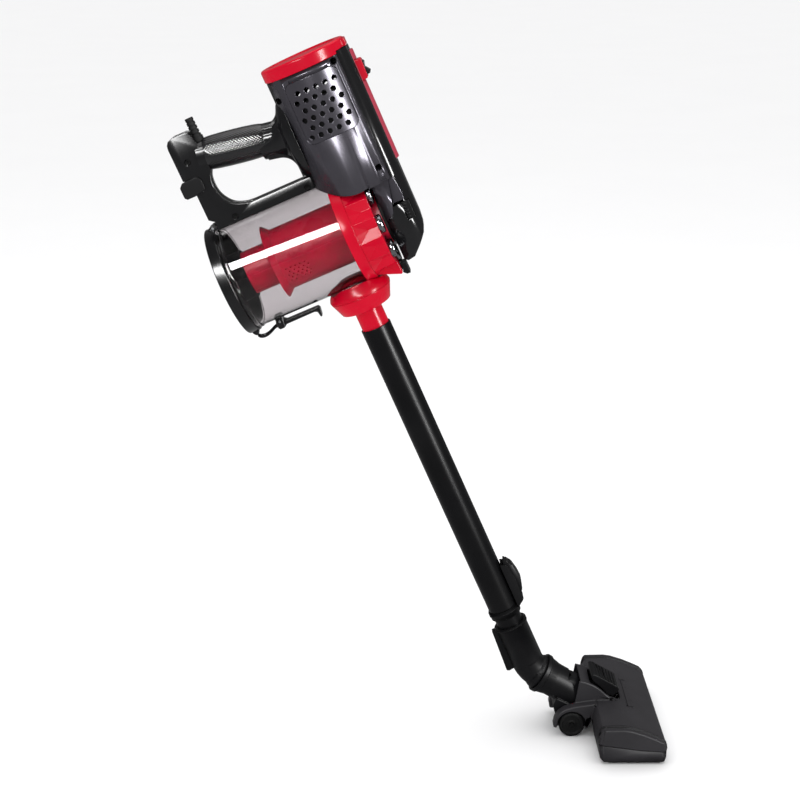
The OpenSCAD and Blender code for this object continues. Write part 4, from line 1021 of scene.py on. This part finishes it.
class VACUUM_OT_cyclone(BuildOperator, bpy.types.Operator):
    """Builds the pleated ring and its caps"""
    bl_idname = "vacuum.cyclone"
    bl_label = "Cyclone ring"

    def build(self):
        build_ring()
        build_caps()
        dress(["corner_catch"], 0.0006)


class VACUUM_OT_lid(BuildOperator, bpy.types.Operator):
    """Finishes the lid and builds its latch"""
    bl_idname = "vacuum.lid"
    bl_label = "Cup lid"

    def build(self):
        rounded("cup_lid", 0.0010)
        dress(["lid_seal", "lid_pin", "latch_pin"])
        build_latch()


class VACUUM_OT_inlet(BuildOperator, bpy.types.Operator):
    """Finishes the red inlet and its flap"""
    bl_idname = "vacuum.inlet"
    bl_label = "Inlet"

    def build(self):
        build_inlet()
        dress(["inlet_flap"])


class VACUUM_OT_wand(BuildOperator, bpy.types.Operator):
    """Finishes the telescopic wand and its lock"""
    bl_idname = "vacuum.wand"
    bl_label = "Wand"

    def build(self):
        edge = settings("vacuum_floor").wand_edge
        dress(["outer_tube", "inner_tube"], edge)
        rounded("lock_collar", 0)
        rounded("lock_slider", 0)
        dress(["lock_spring"])


class VACUUM_OT_elbow(BuildOperator, bpy.types.Operator):
    """Finishes the elbow and the swivel neck"""
    bl_idname = "vacuum.elbow"
    bl_label = "Elbow and neck"

    def build(self):
        rounded("elbow", 0)
        dress(["swivel_ring"], 0.0008)
        rounded("neck", 0.0010)
        dress(["head_axle"], slot="hole_shade_black")


class VACUUM_OT_head(BuildOperator, bpy.types.Operator):
    """Finishes the floor head, its pedal, wheels and brushes"""
    bl_idname = "vacuum.head"
    bl_label = "Floor head"

    def build(self):
        edge = settings("vacuum_floor").shell_edge
        rounded("head_shell", edge)
        rounded("head_sole", 0)
        rounded("pedal", 0.0006)
        dress(["wheel_right", "wheel_left"], 0.0007)
        dress(["head_screws", "brush_frame"])


OPERATORS = (
    VACUUM_OT_stage, VACUUM_OT_casing, VACUUM_OT_grip, VACUUM_OT_spine, VACUUM_OT_motor,
    VACUUM_OT_cup, VACUUM_OT_cyclone, VACUUM_OT_lid, VACUUM_OT_inlet, VACUUM_OT_wand,
    VACUUM_OT_elbow, VACUUM_OT_head,
)


class VACUUM_PT_build(bpy.types.Panel):
    """Lists the builders and the sizes and colours they use"""
    bl_idname = "VACUUM_PT_build"
    bl_label = "Stick Vacuum"
    bl_space_type = "VIEW_3D"
    bl_region_type = "UI"
    bl_category = "Stick Vacuum"

    def draw(self, context):
        layout = self.layout
        for name, group in GROUPS:
            box = layout.box()
            for field in group.__annotations__:
                box.prop(getattr(context.scene, name), field)
        for operator in OPERATORS:
            layout.operator(operator.bl_idname)


def register():
    for name, group in GROUPS:
        bpy.utils.register_class(group)
        setattr(bpy.types.Scene, name, PointerProperty(type=group))
    for operator in OPERATORS:
        bpy.utils.register_class(operator)
    bpy.utils.register_class(VACUUM_PT_build)


def unregister():
    bpy.utils.unregister_class(VACUUM_PT_build)
    for operator in reversed(OPERATORS):
        bpy.utils.unregister_class(operator)
    for name, group in reversed(GROUPS):
        delattr(bpy.types.Scene, name)
        bpy.utils.unregister_class(group)


def main():
    """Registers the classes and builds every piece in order."""
    register()
    for operator in OPERATORS:
        family, action = operator.bl_idname.split(".")
        getattr(getattr(bpy.ops, family), action)()


if __name__ == "__main__":
    main()
